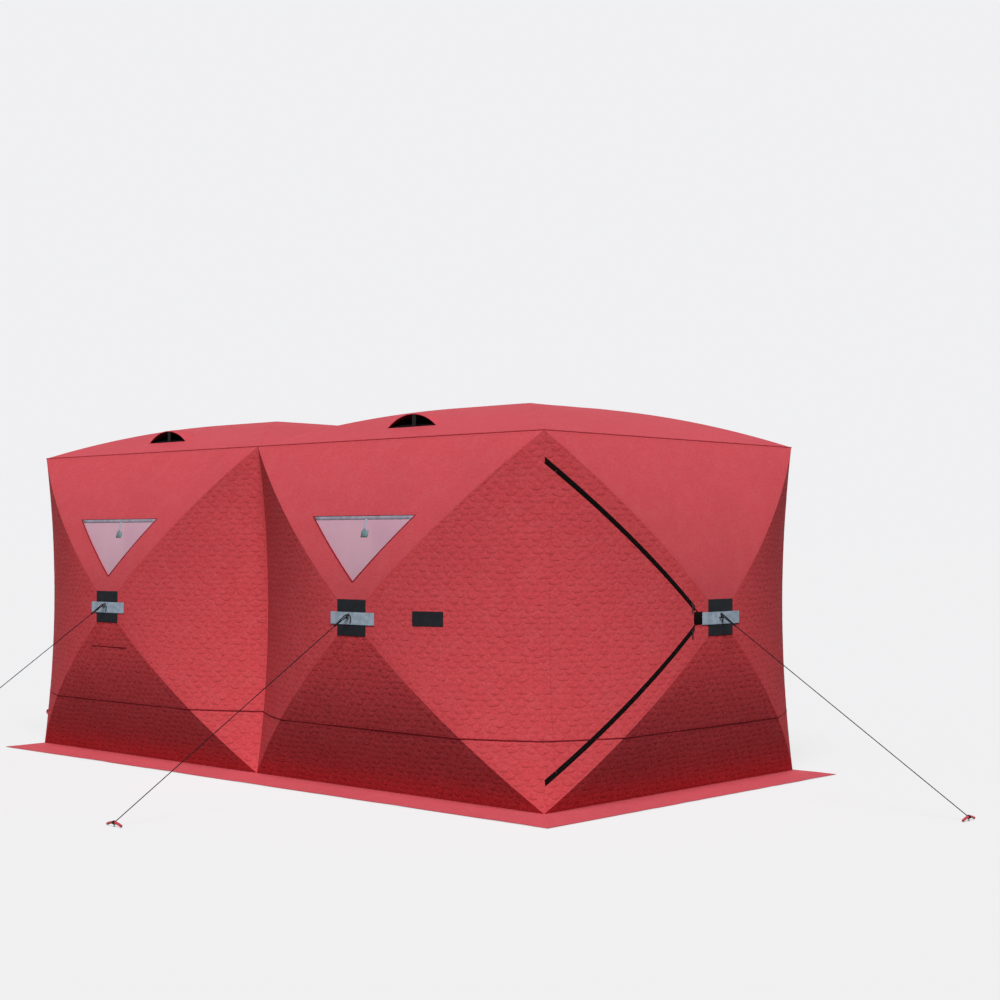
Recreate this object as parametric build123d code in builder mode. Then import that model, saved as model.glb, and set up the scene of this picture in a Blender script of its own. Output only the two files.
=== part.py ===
from build123d import *
from math import asin, copysign, degrees, hypot, sqrt
import os

# Two-bay hub-style ice fishing shelter, in millimetres.
# X runs along the long walls, Y across, Z up from the ground at the middle of the floor.
# Each wall bay and roof bay is a cross of cloth pushed outward by a hub with four bowed poles.

# Plan and heights
bay_length = 1800.0
shelter_width = 1800.0
eave_height = 1565.0
hem_height = 24.0
wall_hub_height = 790.0
wall_hub_outset = 222.0
wall_bow_share = 0.27
roof_hub_height = 1761.0
roof_bow_share = 0.255

# Cloth, and how far the seams that have no pole are drawn inward at mid height
cloth = 4.0
corner_sag = 54.0
middle_sag = 65.0
hub_hole_radius = 26.0
seat = 0.3
hub_fit = 0.2
patch_fit = 0.9

# Snow skirt, sloping from the hem to the ground
skirt_run = 147.0
skirt_cloth = 3.0

# Poles, hubs and the corner joints that hold the pole ends
pole_diameter = 11.0
pole_sides = 8
section_turn = 180 / pole_sides
pole_depth = 16.0
pole_fit = 0.15
socket_wall = 2.0
socket_depth = 22.0
socket_tail = 28.0
hub_radius = 38.0
hub_thickness = 26.0
hub_reach = 52.0
joint_inset = 27.5
joint_radius = 18.0
joint_height = 22.0
joint_reach = 42.0
joint_catch = 84.0
neck_radius = 9.0
neck_gap = 22.0

# Windows in the upper panels of the long walls
window_width = 643.0
window_top = 1227.0
window_bottom = 944.0
window_lap = 18.0
window_film = 1.0

# Door in the near half of the right end wall, between two slanting zips
zip_drop = 111.0
zip_width = 25.0
zip_thickness = 2.0
door_gap = 6.0
hinge_fit = 0.5
door_hinge_inset = 55.0
door_tip_reach = 150.0

# Roof vents, each half a dome of cloth held open by a strut
vent_run = 162.0
vent_sill = 10.0
vent_width = 300.0
vent_rise = 55.0
vent_hole_radius = 115.0
vent_cloth = 2.5
strut_width = 22.0
strut_thickness = 3.0
strut_clearance = 0.6

# Patches over the hubs, the webbing across them and a plain patch beside one of them
patch_width = 177.0
patch_height = 155.0
patch_cloth = 2.0
strap_length = 272.0
strap_height = 53.0
strap_cloth = 2.0
label_width = 142.0
label_height = 61.0
label_along = 408.0
label_middle = 795.0

# Guy ropes, and the ice anchors at their ends cut off at the ground
rope_diameter = 5.0
rope_reach = 1038.0
rope_drift = 230.0
rope_lead = 2.0
anchor_span = 100.0
anchor_bar = 12.0
anchor_end_height = 14.0
anchor_crown_height = 32.0
anchor_stem = 8.0
anchor_fit = 0.9

half_bay = bay_length / 2
half_width = shelter_width / 2
wall_height = eave_height - hem_height
wall_middle = (eave_height + hem_height) / 2
roof_rise = roof_hub_height - eave_height
wall_pole_bow = wall_hub_outset * wall_bow_share
roof_pole_bow = roof_rise * roof_bow_share
reach = wall_hub_outset + roof_hub_height
pole_radius = pole_diameter / 2
up = Vector(0, 0, 1)
sags = {"corner": corner_sag, "middle": middle_sag}
os.makedirs("parts", exist_ok=True)


def save(part, name):
    part.label = name
    export_step(part, f"parts/{name}.step")


def wall_view(x, y, along):
    """Plane of a wall bay: x along the wall, y up, z outward."""
    return Plane(origin=(x, y, 0), x_dir=along, z_dir=Vector(*along).cross(up))


def end_on(view):
    """Plane across a wall bay: x outward, y up."""
    return Plane(origin=view.origin, x_dir=view.z_dir, z_dir=view.x_dir * -1)


def bulge(share, rise, bow):
    """How far a bowed pole stands out at a share of the way from its corner to its hub."""
    return share * rise + 4 * share * (1 - share) * bow


def eave_mitre(view):
    """Slanting plane in which the wall cloth meets the roof cloth, facing the wall."""
    return Plane(origin=view.from_local_coords((0, eave_height, 0)), x_dir=view.x_dir,
                 z_dir=view.z_dir - up)


def corner_mitre(view, half, side):
    """Upright plane in which two walls meet at a corner, facing the wall of the view."""
    return Plane(origin=view.from_local_coords((side * half, 0, 0)), x_dir=up,
                 z_dir=view.z_dir - view.x_dir * side)


def slope_panel(view, half, start, lift, thickness, outline):
    """Upper or lower cloth of a wall bay from height start to the hub, inside an outline."""
    middle = (start + wall_hub_height) / 2
    crown = wall_hub_outset / 2 + wall_pole_bow
    with BuildPart() as panel:
        with BuildSketch(end_on(view)):
            with BuildLine():
                outer, inner = (ThreePointArc((out, start), (crown + out, middle),
                                              (wall_hub_outset + out, wall_hub_height))
                                for out in (lift, lift - thickness))
                Line(outer @ 0, inner @ 0)
                Line(outer @ 1, inner @ 1)
            make_face()
        extrude(amount=half, both=True)
        with BuildSketch(view):
            Polygon(*outline, align=None)
        extrude(amount=reach, both=True, mode=Mode.INTERSECT)
        with BuildSketch(view):
            with Locations((0, wall_hub_height)):
                Circle(hub_hole_radius)
        extrude(amount=reach, both=True, mode=Mode.SUBTRACT)
        split(bisect_by=eave_mitre(view), keep=Keep.TOP)
    return panel.part


def side_panel(view, half, side, seam, lift, thickness, outline):
    """Side cloth of a wall bay, drawn inward along its upright seam, inside an outline."""
    sag = sags[seam]
    crown = wall_hub_outset / 2 + wall_pole_bow - sag / 4
    turn_radius = wall_height ** 2 / (8 * sag)
    half_turn = degrees(asin(wall_height / 2 / (turn_radius - wall_hub_outset - wall_pole_bow)))
    level = Plane(origin=view.from_local_coords((0, wall_middle, 0)), x_dir=view.x_dir, z_dir=up * -1)
    with BuildPart() as panel:
        with BuildSketch(level):
            with BuildLine():
                outer, inner = (ThreePointArc((side * half, out - sag), (side * half / 2, crown + out),
                                              (0, wall_hub_outset + out))
                                for out in (lift, lift - thickness))
                Line(outer @ 0, inner @ 0)
                Line(outer @ 1, inner @ 1)
            make_face()
        revolve(axis=Axis(view.from_local_coords((0, wall_middle, turn_radius - sag)), view.x_dir),
                revolution_arc=half_turn)
        mirror(about=level)
        with BuildSketch(view):
            Polygon(*outline, align=None)
        extrude(amount=reach, both=True, mode=Mode.INTERSECT)
        with BuildSketch(view):
            with Locations((0, wall_hub_height)):
                Circle(hub_hole_radius)
        extrude(amount=reach, both=True, mode=Mode.SUBTRACT)
        split(bisect_by=eave_mitre(view), keep=Keep.TOP)
        if seam == "corner":
            split(bisect_by=corner_mitre(view, half, side), keep=Keep.TOP)
    return panel.part


def roof_arc(span, drop):
    """Arc of the roof cloth from the eave up to the hub, as distance from the hub and height."""
    return ThreePointArc((span, eave_height - drop),
                         (span / 2, eave_height + roof_rise / 2 + roof_pole_bow - drop),
                         (0, roof_hub_height - drop))


# Where the vents stand on the roof slope, and which way the slope runs there
vent_line = roof_arc(half_width, 0)
vent_mouth = vent_line @ (vent_run / vent_line.length)
vent_slope = vent_line % (vent_run / vent_line.length)


def roof_panel(view, span, half, vented):
    """Roof cloth of one side of a bay, from the eave at span up to the roof hub."""
    top_down = Plane(origin=view.origin, x_dir=view.z_dir, z_dir=up)
    with BuildPart() as panel:
        with BuildSketch(end_on(view)):
            with BuildLine():
                outer, inner = roof_arc(span, 0), roof_arc(span, cloth)
                Line(outer @ 0, inner @ 0)
                Line(outer @ 1, inner @ 1)
            make_face()
        extrude(amount=half, both=True)
        with BuildSketch(top_down):
            Polygon((0, 0), (span, -half), (span, half), align=None)
        extrude(amount=reach, mode=Mode.INTERSECT)
        with BuildSketch(top_down):
            Circle(hub_hole_radius)
            if vented:
                with Locations((vent_mouth.X, 0)):
                    Circle(vent_hole_radius)
                with Locations((vent_mouth.X - vent_sill, 0)):
                    Rectangle(vent_width, vent_width, align=(Align.MIN, Align.CENTER),
                              mode=Mode.SUBTRACT)
        extrude(amount=reach, mode=Mode.SUBTRACT)
    return panel.part


# Six wall bays, going round the shelter, with the seam at each end of each bay
wall_bays = {
    "front_left": (wall_view(-half_bay, -half_width, (1, 0, 0)), half_bay, "corner", "middle"),
    "front_right": (wall_view(half_bay, -half_width, (1, 0, 0)), half_bay, "middle", "corner"),
    "right_end": (wall_view(bay_length, 0, (0, 1, 0)), half_width, "corner", "corner"),
    "back_right": (wall_view(half_bay, half_width, (-1, 0, 0)), half_bay, "corner", "middle"),
    "back_left": (wall_view(-half_bay, half_width, (-1, 0, 0)), half_bay, "middle", "corner"),
    "left_end": (wall_view(-bay_length, 0, (0, -1, 0)), half_width, "corner", "corner"),
}


def side_outline(half, side):
    return (side * half, hem_height), (side * half, eave_height), (0, wall_hub_height)


def window_outline(lap):
    """Window triangle, point down, grown by a lap on every side."""
    slope = (window_top - window_bottom) / (window_width / 2)
    low = window_bottom - lap * hypot(1, slope)
    high = window_top + lap
    spread = (high - low) / slope
    return (-spread, high), (0, low), (spread, high)


# Upper and lower panels
for name, (view, half, left_seam, right_seam) in wall_bays.items():
    with BuildPart() as upper_panel:
        add(slope_panel(view, half, eave_height, 0, cloth,
                        [(-half, eave_height), (0, wall_hub_height), (half, eave_height)]))
        if not name.endswith("end"):
            with BuildSketch(view):
                Polygon(*window_outline(0), align=None)
            extrude(amount=reach, both=True, mode=Mode.SUBTRACT)
    save(upper_panel.part, f"{name}_upper_panel")

    with BuildPart() as lower_panel:
        add(slope_panel(view, half, hem_height, 0, cloth,
                        [(-half, hem_height), (half, hem_height), (0, wall_hub_height)]))
        for side, seam in ((-1, left_seam), (1, right_seam)):
            if seam == "corner":
                split(bisect_by=corner_mitre(view, half, side), keep=Keep.TOP)
    save(lower_panel.part, f"{name}_lower_panel")

# Side panels, two to a bay, apart from the half bay that the door is in
for name, (view, half, left_seam, right_seam) in wall_bays.items():
    with BuildPart() as side_panels:
        if name != "right_end":
            add(side_panel(view, half, -1, left_seam, 0, cloth, side_outline(half, -1)))
        add(side_panel(view, half, 1, right_seam, 0, cloth, side_outline(half, 1)))
    save(side_panels.part, f"{name}_side_panels")

# Door: the flap, and the strips of the side panel that stay round it
door_view, door_half, door_seam, door_far_seam = wall_bays["right_end"]
upper_slope = (eave_height - wall_hub_height) / door_half
lower_slope = (wall_hub_height - hem_height) / door_half


def upper_zip(along, inset):
    """Height of the upper zip line, moved toward the flap by an inset."""
    return eave_height - zip_drop - upper_slope * (along + door_half) - inset * hypot(1, upper_slope)


def lower_zip(along, inset):
    return hem_height + zip_drop + lower_slope * (along + door_half) + inset * hypot(1, lower_slope)


def between_zips(inset, hinge, tip):
    """Outline of the door between its zips, from the hinge edge to the cut tip."""
    return ((hinge, lower_zip(hinge, inset)), (hinge, upper_zip(hinge, inset)),
            (tip, upper_zip(tip, inset)), (tip, lower_zip(tip, inset)))


hinge_edge = -door_half + door_hinge_inset
flap_hinge = hinge_edge + hinge_fit / 2
frame_hinge = hinge_edge - hinge_fit / 2
flap_tip = -door_tip_reach
frame_tip = flap_tip + door_gap
half_gap = door_gap / 2

with BuildPart() as door_flap:
    add(side_panel(door_view, door_half, -1, door_seam, 0, cloth,
                   between_zips(half_gap, flap_hinge, flap_tip)))
save(door_flap.part, "door_flap")

with BuildPart() as door_upper_strip:
    add(side_panel(door_view, door_half, -1, door_seam, 0, cloth, (
        (-door_half, eave_height), (0, wall_hub_height), (frame_tip, wall_hub_height),
        (frame_tip, upper_zip(frame_tip, -half_gap)), (-door_half, upper_zip(-door_half, -half_gap)))))
save(door_upper_strip.part, "door_upper_strip")

with BuildPart() as door_lower_strip:
    add(side_panel(door_view, door_half, -1, door_seam, 0, cloth, (
        (-door_half, hem_height), (0, wall_hub_height), (frame_tip, wall_hub_height),
        (frame_tip, lower_zip(frame_tip, -half_gap)), (-door_half, lower_zip(-door_half, -half_gap)))))
save(door_lower_strip.part, "door_lower_strip")

with BuildPart() as door_hinge_strip:
    add(side_panel(door_view, door_half, -1, door_seam, 0, cloth,
                   between_zips(-half_gap, -door_half, frame_hinge)))
save(door_hinge_strip.part, "door_hinge_strip")

# Zip halves, one row of teeth on the flap and one on the strips
zip_half_width = (zip_width - door_gap) / 2


def zip_bands(near, far, hinge, tip):
    """Outlines of the two narrow bands between two distances from the zip lines."""
    for zip_height in (upper_zip, lower_zip):
        yield ((hinge, zip_height(hinge, near)), (hinge, zip_height(hinge, far)),
               (tip, zip_height(tip, far)), (tip, zip_height(tip, near)))


with BuildPart() as flap_zips:
    for band in zip_bands(half_gap, half_gap + zip_half_width, flap_hinge, flap_tip - zip_width):
        add(side_panel(door_view, door_half, -1, door_seam, seat + zip_thickness, zip_thickness, band))
save(flap_zips.part, "flap_zips")

with BuildPart() as frame_zips:
    for band in zip_bands(-half_gap, -half_gap - zip_half_width, -door_half, flap_tip - zip_width):
        add(side_panel(door_view, door_half, -1, door_seam, seat + zip_thickness, zip_thickness, band))
save(frame_zips.part, "frame_zips")

# Window films, lapped behind the openings
for wall in ("front", "back"):
    with BuildPart() as windows:
        for bay in ("left", "right"):
            view, half, left_seam, right_seam = wall_bays[f"{wall}_{bay}"]
            add(slope_panel(view, half, eave_height, -cloth - seat, window_film,
                            window_outline(window_lap)))
    save(windows.part, f"{wall}_windows")

# Roof panels, four to a bay, named for the side they slope to
eave_lines = [view for view, half, left_seam, right_seam in wall_bays.values()]
roof_slopes = {"front": (1, 0, 0), "right": (0, 1, 0), "back": (-1, 0, 0), "left": (0, -1, 0)}
for bay, middle_x in (("left", -half_bay), ("right", half_bay)):
    for slope, along in roof_slopes.items():
        view = wall_view(middle_x, 0, along)
        long_side = slope in ("front", "back")
        span, half = (half_width, half_bay) if long_side else (half_bay, half_width)
        with BuildPart() as roof_slope:
            add(roof_panel(view, span, half, long_side))
            for wall_line in eave_lines:
                split(bisect_by=eave_mitre(wall_line), keep=Keep.BOTTOM)
        save(roof_slope.part, f"roof_{bay}_{slope}_panel")

# Snow skirts, mitred at the corners
skirts = {
    "front": (wall_view(0, -half_width, (1, 0, 0)), bay_length),
    "right": (wall_view(bay_length, 0, (0, 1, 0)), half_width),
    "back": (wall_view(0, half_width, (-1, 0, 0)), bay_length),
    "left": (wall_view(-bay_length, 0, (0, -1, 0)), half_width),
}
for side_name, (view, half) in skirts.items():
    with BuildPart() as skirt:
        with BuildSketch(end_on(view)):
            Polygon((-cloth, hem_height), (0, hem_height), (skirt_run, skirt_cloth), (skirt_run, 0),
                    (0, hem_height - skirt_cloth), (-cloth, hem_height - skirt_cloth), align=None)
        extrude(amount=half + skirt_run, both=True)
        for side in (-1, 1):
            split(bisect_by=corner_mitre(view, half, side), keep=Keep.TOP)
    save(skirt.part, f"{side_name}_skirt")


def bow_shares(diagonal):
    """Where a pole starts, bends and ends, as shares of the way from corner to hub."""
    near, far = joint_reach / diagonal, 1 - hub_reach / diagonal
    return near, (near + far) / 2, far


def wall_bows(view, half):
    """Bowed middle lines of the four poles of a wall bay, from corner to hub."""
    for side in (-1, 1):
        for corner_height in (hem_height, eave_height):
            climb = wall_hub_height - corner_height
            yield ThreePointArc(*(
                view.from_local_coords((side * half * (1 - share), corner_height + climb * share,
                                        bulge(share, wall_hub_outset, wall_pole_bow) - pole_depth))
                for share in bow_shares(hypot(half, climb))))


def roof_bows(middle_x):
    """Bowed middle lines of the four poles of a roof bay, from corner to hub."""
    for side_x in (-1, 1):
        for side_y in (-1, 1):
            yield ThreePointArc(*((middle_x + side_x * half_bay * (1 - share),
                                   side_y * half_width * (1 - share),
                                   eave_height + bulge(share, roof_rise, roof_pole_bow) - pole_depth)
                                  for share in bow_shares(hypot(half_bay, half_width))))


wall_bow_sets = {name: list(wall_bows(view, half))
                 for name, (view, half, left_seam, right_seam) in wall_bays.items()}
roof_bow_sets = {middle_x: list(roof_bows(middle_x)) for middle_x in (-half_bay, half_bay)}
all_bows = [bow for bows in (*wall_bow_sets.values(), *roof_bow_sets.values()) for bow in bows]


def along_pole(bow, place):
    """Plane across a pole at its corner end, 0, or its hub end, 1."""
    sideways = (bow @ 0.5 - bow @ 0).cross(bow @ 1 - bow @ 0)
    return Plane(origin=bow @ place, x_dir=sideways, z_dir=bow % place)


def bowed_pole(bow):
    with BuildPart() as pole:
        with BuildSketch(along_pole(bow, 0)):
            RegularPolygon(pole_radius, pole_sides, rotation=section_turn)
        sweep(path=bow)
    return pole.part


with BuildPart() as wall_poles:
    for bows in wall_bow_sets.values():
        for bow in bows:
            add(bowed_pole(bow))
save(wall_poles.part, "wall_poles")

with BuildPart() as roof_poles:
    for bows in roof_bow_sets.values():
        for bow in bows:
            add(bowed_pole(bow))
save(roof_poles.part, "roof_poles")


def straight_bar(base, radius, start, length):
    """Bar with as many sides as a pole, along the base plane's normal."""
    with BuildPart() as bar:
        with BuildSketch(base.offset(start)):
            RegularPolygon(radius, pole_sides, rotation=section_turn)
        extrude(amount=length)
    return bar.part


def socket_tube(bow, place):
    """Outside of the tube round a pole end, with a solid tail behind it."""
    span = socket_tail + socket_depth
    return straight_bar(along_pole(bow, place), pole_radius + pole_fit + socket_wall,
                        -socket_depth * place - socket_tail * (1 - place), span)


def socket_bore(bow, place):
    return straight_bar(along_pole(bow, place), pole_radius + pole_fit,
                        -socket_depth * place - seat * (1 - place), seat + socket_depth)


def with_sockets(body, bows, place):
    """A moulded body with a socket for each pole that ends in it."""
    with BuildPart() as fitting:
        add(body)
        for bow in bows:
            add(socket_tube(bow, place))
        for bow in bows:
            add(socket_bore(bow, place), mode=Mode.SUBTRACT)
    return fitting.part


def cloth_line(run, corner_out):
    """Line of the wall cloth from a seam or an edge to the hub, as distance from the hub and outset."""
    return ThreePointArc((run, corner_out), (run / 2, wall_hub_outset / 2 + wall_pole_bow + corner_out / 4),
                         (0, wall_hub_outset))


def fall_over_hub(line):
    """How far the cloth falls from the middle of a hub disc to its rim, along a line that ends there."""
    return max(0, (line @ 1).Y - (line @ (1 - hub_radius / line.length)).Y)


def hub_disc(face, fall):
    """Hub disc just inside cloth that lies on the face plane and falls that much to the disc's rim."""
    with BuildPart() as disc:
        with BuildSketch(face.offset(-cloth - hub_fit - fall)):
            Circle(hub_radius)
        extrude(amount=-hub_thickness)
    return disc.part


# Hubs, a moulded disc with four sockets
with BuildPart() as wall_hubs:
    for name, (view, half, left_seam, right_seam) in wall_bays.items():
        hub_face = Plane(origin=view.from_local_coords((0, wall_hub_height, wall_hub_outset)),
                         x_dir=view.x_dir, z_dir=view.z_dir)
        cloth_lines = [cloth_line(*end) for end in (
            (half, -sags[left_seam]), (half, -sags[right_seam]),
            (eave_height - wall_hub_height, 0), (wall_hub_height - hem_height, 0))]
        fall = max(fall_over_hub(line) for line in cloth_lines)
        add(with_sockets(hub_disc(hub_face, fall), wall_bow_sets[name], 1))
save(wall_hubs.part, "wall_hubs")

with BuildPart() as roof_hubs:
    for middle_x, bows in roof_bow_sets.items():
        fall = max(fall_over_hub(roof_arc(span, 0)) for span in (half_width, half_bay))
        add(with_sockets(hub_disc(Plane(origin=(middle_x, 0, roof_hub_height)), fall), bows, 1))
save(roof_hubs.part, "roof_hubs")

# Joints where the pole ends meet, under the eaves and at the ground
cloth_corners = [(x, y) for x in (-bay_length, 0, bay_length) for y in (-half_width, half_width)]
upper_joint_height = eave_height - joint_inset
lower_joint_height = hem_height + joint_inset


def moved_in(place):
    """A corner's place moved inward by the joint inset, or left on the middle line."""
    return place - copysign(joint_inset, place) if place else place


def pole_joint(corner, height, bottom):
    """Post with a neck that runs to the cloth corner, and a socket for each pole that ends near it."""
    root = Vector(moved_in(corner.X), moved_in(corner.Y), height)
    near_bows = [bow for bow in all_bows if (bow @ 0 - corner).length < joint_catch]
    with BuildPart() as post:
        add(straight_bar(Plane(origin=(root.X, root.Y, 0)), joint_radius, bottom,
                         height + joint_height / 2 - bottom))
        add(straight_bar(Plane(origin=root, z_dir=corner - root), neck_radius, 0,
                         (corner - root).length - neck_gap))
    return with_sockets(post.part, near_bows, 0)


with BuildPart() as upper_joints:
    for x, y in cloth_corners:
        add(pole_joint(Vector(x, y, eave_height), upper_joint_height, upper_joint_height - joint_height / 2))
save(upper_joints.part, "upper_joints")

with BuildPart() as lower_joints:
    for x, y in cloth_corners:
        add(pole_joint(Vector(x, y, hem_height), lower_joint_height, 0))
save(lower_joints.part, "lower_joints")


# Vents: half a shallow dome on the roof slope, open toward the eave
dome_radius = ((vent_width / 2) ** 2 + vent_rise ** 2) / (2 * vent_rise)
dome_sink = dome_radius - vent_rise
vent_normal = Vector(vent_slope.Y, -vent_slope.X)


def vent_hood(view):
    """Hood of one vent, with its sphere centred under the roof slope."""
    centre = vent_mouth - vent_normal * dome_sink
    with BuildPart() as hood:
        with Locations(view.from_local_coords((0, centre.Y, centre.X))):
            Sphere(dome_radius)
            Sphere(dome_radius - vent_cloth, mode=Mode.SUBTRACT)
        with BuildSketch(end_on(view)):
            with BuildLine():
                slope = roof_arc(half_width, -seat)
                Polyline(slope @ 1, (0, 0), (half_width, 0), slope @ 0)
            make_face()
        extrude(amount=half_bay, both=True, mode=Mode.SUBTRACT)
        split(bisect_by=Plane(origin=view.from_local_coords((0, 0, vent_mouth.X)), x_dir=up,
                              z_dir=view.z_dir), keep=Keep.BOTTOM)
    return hood.part


def vent_strut(view):
    """Strut that stands on the sill inside the mouth of a vent and holds the hood up."""
    inner = vent_mouth.X - strut_thickness
    slant = -vent_slope.Y / vent_slope.X
    foot = vent_mouth.Y + seat * hypot(1, slant)
    drop = dome_sink * vent_normal.Y
    head = vent_mouth.Y - drop - strut_clearance + sqrt(
        drop ** 2 + (dome_radius - vent_cloth) ** 2 - dome_sink ** 2)
    with BuildPart() as strut:
        with BuildSketch(end_on(view)):
            Polygon((vent_mouth.X, foot), (vent_mouth.X, head), (inner, head),
                    (inner, foot + slant * strut_thickness), align=None)
        extrude(amount=strut_width / 2, both=True)
    return strut.part


vent_views = [wall_view(middle_x, 0, (facing, 0, 0)) for middle_x in (-half_bay, half_bay)
              for facing in (1, -1)]
with BuildPart() as vent_hoods:
    for view in vent_views:
        add(vent_hood(view))
save(vent_hoods.part, "vent_hoods")

with BuildPart() as vent_struts:
    for view in vent_views:
        add(vent_strut(view))
save(vent_struts.part, "vent_struts")

# Hub patches outside, and the webbing sewn across them
patch_back = wall_hub_outset + patch_fit
with BuildPart() as hub_patches:
    for name, (view, half, left_seam, right_seam) in wall_bays.items():
        with BuildSketch(view.offset(patch_back)):
            with Locations((0, wall_hub_height)):
                Rectangle(patch_width, patch_height)
        extrude(amount=patch_cloth)
save(hub_patches.part, "hub_patches")

with BuildPart() as hub_straps:
    for name, (view, half, left_seam, right_seam) in wall_bays.items():
        with BuildSketch(view.offset(patch_back + patch_cloth)):
            with Locations((0, wall_hub_height)):
                Rectangle(strap_length, strap_height)
        extrude(amount=strap_cloth)
save(hub_straps.part, "hub_straps")

label_view, label_half, label_left_seam, label_right_seam = wall_bays["front_right"]
with BuildPart() as plain_patch:
    low, high = label_middle - label_height / 2, label_middle + label_height / 2
    left, right = label_along - label_width / 2, label_along + label_width / 2
    add(side_panel(label_view, label_half, 1, label_right_seam, seat + patch_cloth, patch_cloth,
                   ((left, low), (right, low), (right, high), (left, high))))
save(plain_patch.part, "plain_patch")

# Guy ropes, taut from each hub strap to its ice anchor
rope_start = patch_back + patch_cloth + strap_cloth + rope_lead
rope_end = wall_hub_outset + rope_reach
drifts = {name: rope_drift if name.startswith(("back", "right")) else -rope_drift for name in wall_bays}

with BuildPart() as guy_ropes:
    for name, (view, half, left_seam, right_seam) in wall_bays.items():
        top = view.from_local_coords((0, wall_hub_height, rope_start))
        foot = view.from_local_coords((drifts[name], anchor_crown_height, rope_end))
        with BuildSketch(Plane(origin=top, z_dir=foot - top)):
            RegularPolygon(rope_diameter / 2, pole_sides)
        extrude(amount=(foot - top).length - anchor_bar / 2 - anchor_fit)
save(guy_ropes.part, "guy_ropes")

with BuildPart() as ice_anchors:
    for name, (view, half, left_seam, right_seam) in wall_bays.items():
        with BuildLine() as handle_line:
            ThreePointArc(*(view.from_local_coords((drifts[name] + share * anchor_span / 2, height, rope_end))
                            for share, height in ((-1, anchor_end_height), (0, anchor_crown_height),
                                                  (1, anchor_end_height))))
        with BuildSketch(Plane(origin=handle_line.line @ 0, z_dir=handle_line.line % 0)):
            RegularPolygon(anchor_bar / 2, pole_sides)
        sweep()
        with Locations(view.from_local_coords((drifts[name], 0, rope_end))):
            Cylinder(anchor_stem / 2, anchor_crown_height, align=(Align.CENTER, Align.CENTER, Align.MIN))
save(ice_anchors.part, "ice_anchors")
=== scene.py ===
from math import asin, atan2, ceil, cos, exp, floor, hypot, pi, radians, sin

import bmesh
import bpy
from mathutils import Matrix, Vector, noise


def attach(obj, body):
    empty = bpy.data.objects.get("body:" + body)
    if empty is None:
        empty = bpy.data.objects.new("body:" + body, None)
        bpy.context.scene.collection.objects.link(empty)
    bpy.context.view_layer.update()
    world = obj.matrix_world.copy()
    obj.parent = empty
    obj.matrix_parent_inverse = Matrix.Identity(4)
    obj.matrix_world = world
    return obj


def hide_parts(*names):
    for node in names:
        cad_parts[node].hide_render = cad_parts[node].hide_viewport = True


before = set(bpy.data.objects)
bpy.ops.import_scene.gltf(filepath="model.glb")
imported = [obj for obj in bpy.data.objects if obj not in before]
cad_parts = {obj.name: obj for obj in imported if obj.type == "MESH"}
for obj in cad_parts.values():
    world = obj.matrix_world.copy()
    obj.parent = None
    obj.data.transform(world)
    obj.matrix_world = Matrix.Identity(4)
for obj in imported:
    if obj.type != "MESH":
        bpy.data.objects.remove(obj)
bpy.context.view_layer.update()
for loaded in list(bpy.context.selected_objects):
    loaded.select_set(False)
print("frame loaded")

# camera, at the place and angle that the picture was taken from
view = {"place": (6.3409, -6.0872, 1.1178), "yaw": 42.671, "pitch": 1.363, "lens": 61.73, "sensor": 36}
cameraData = bpy.data.cameras.new("camera")
camera = bpy.data.objects.new("camera", cameraData)
bpy.context.scene.collection.objects.link(camera)
camera.location = view["place"]
camera.rotation_euler = (radians(90 + view["pitch"]), 0, radians(view["yaw"]))
cameraData.lens = view["lens"]
cameraData.sensor_width = view["sensor"]
bpy.context.scene.camera = camera
bpy.context.scene.view_settings.view_transform = "Standard"


# node helpers
def feed(tree, value, socket):
    if isinstance(value, bpy.types.NodeSocket):
        tree.links.new(value, socket)
    else:
        socket.default_value = value


def wire(tree, node, inputs):
    for key, value in dict(inputs).items():
        feed(tree, value, node.inputs[key])


def calc(tree, operation, *values):
    made = tree.nodes.new("ShaderNodeMath")
    made.operation = operation
    for socket, value in zip(made.inputs, values):
        feed(tree, value, socket)
    return made.outputs[0]


def times(tree, first, second):
    return calc(tree, "MULTIPLY", first, second)


def put(tree, kind, inputs=(), **settings):
    made = tree.nodes.new("ShaderNode" + kind)
    for key, value in settings.items():
        setattr(made, key, value)
    wire(tree, made, inputs)
    return made


def place(tree, group, inputs=()):
    made = tree.nodes.new("ShaderNodeGroup")
    made.node_tree = group
    wire(tree, made, inputs)
    return made.outputs


def blendColour(tree, share, first, second, how="MIX"):
    made = put(tree, "Mix", data_type="RGBA", blend_type=how)
    wire(tree, made, {0: share, 6: first, 7: second})
    return made.outputs[2]


def ramp(tree, value, low, high, fromLow=0.0, fromHigh=1.0, how="SMOOTHSTEP"):
    return put(tree, "MapRange", {"Value": value, "From Min": fromLow, "From Max": fromHigh, "To Min": low,
                                  "To Max": high}, interpolation_type=how).outputs[0]


def clouds(tree, vector, size, detail, rough=0.5, warp=0.0):
    return put(tree, "TexNoise", {"Vector": vector, "Scale": size, "Detail": detail, "Roughness": rough,
                                  "Distortion": warp}).outputs[0]


def colour(red, green, blue):  # screen values to the linear values that a shader takes
    def linear(part):
        part /= 255
        return part / 12.92 if part <= 0.04045 else ((part + 0.055) / 1.055) ** 2.4
    return (linear(red), linear(green), linear(blue), 1.0)


def mottled(tree, patches, low, high, first, second):
    return blendColour(tree, ramp(tree, patches, 0.0, 1.0, low, high), colour(*first), colour(*second))


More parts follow.
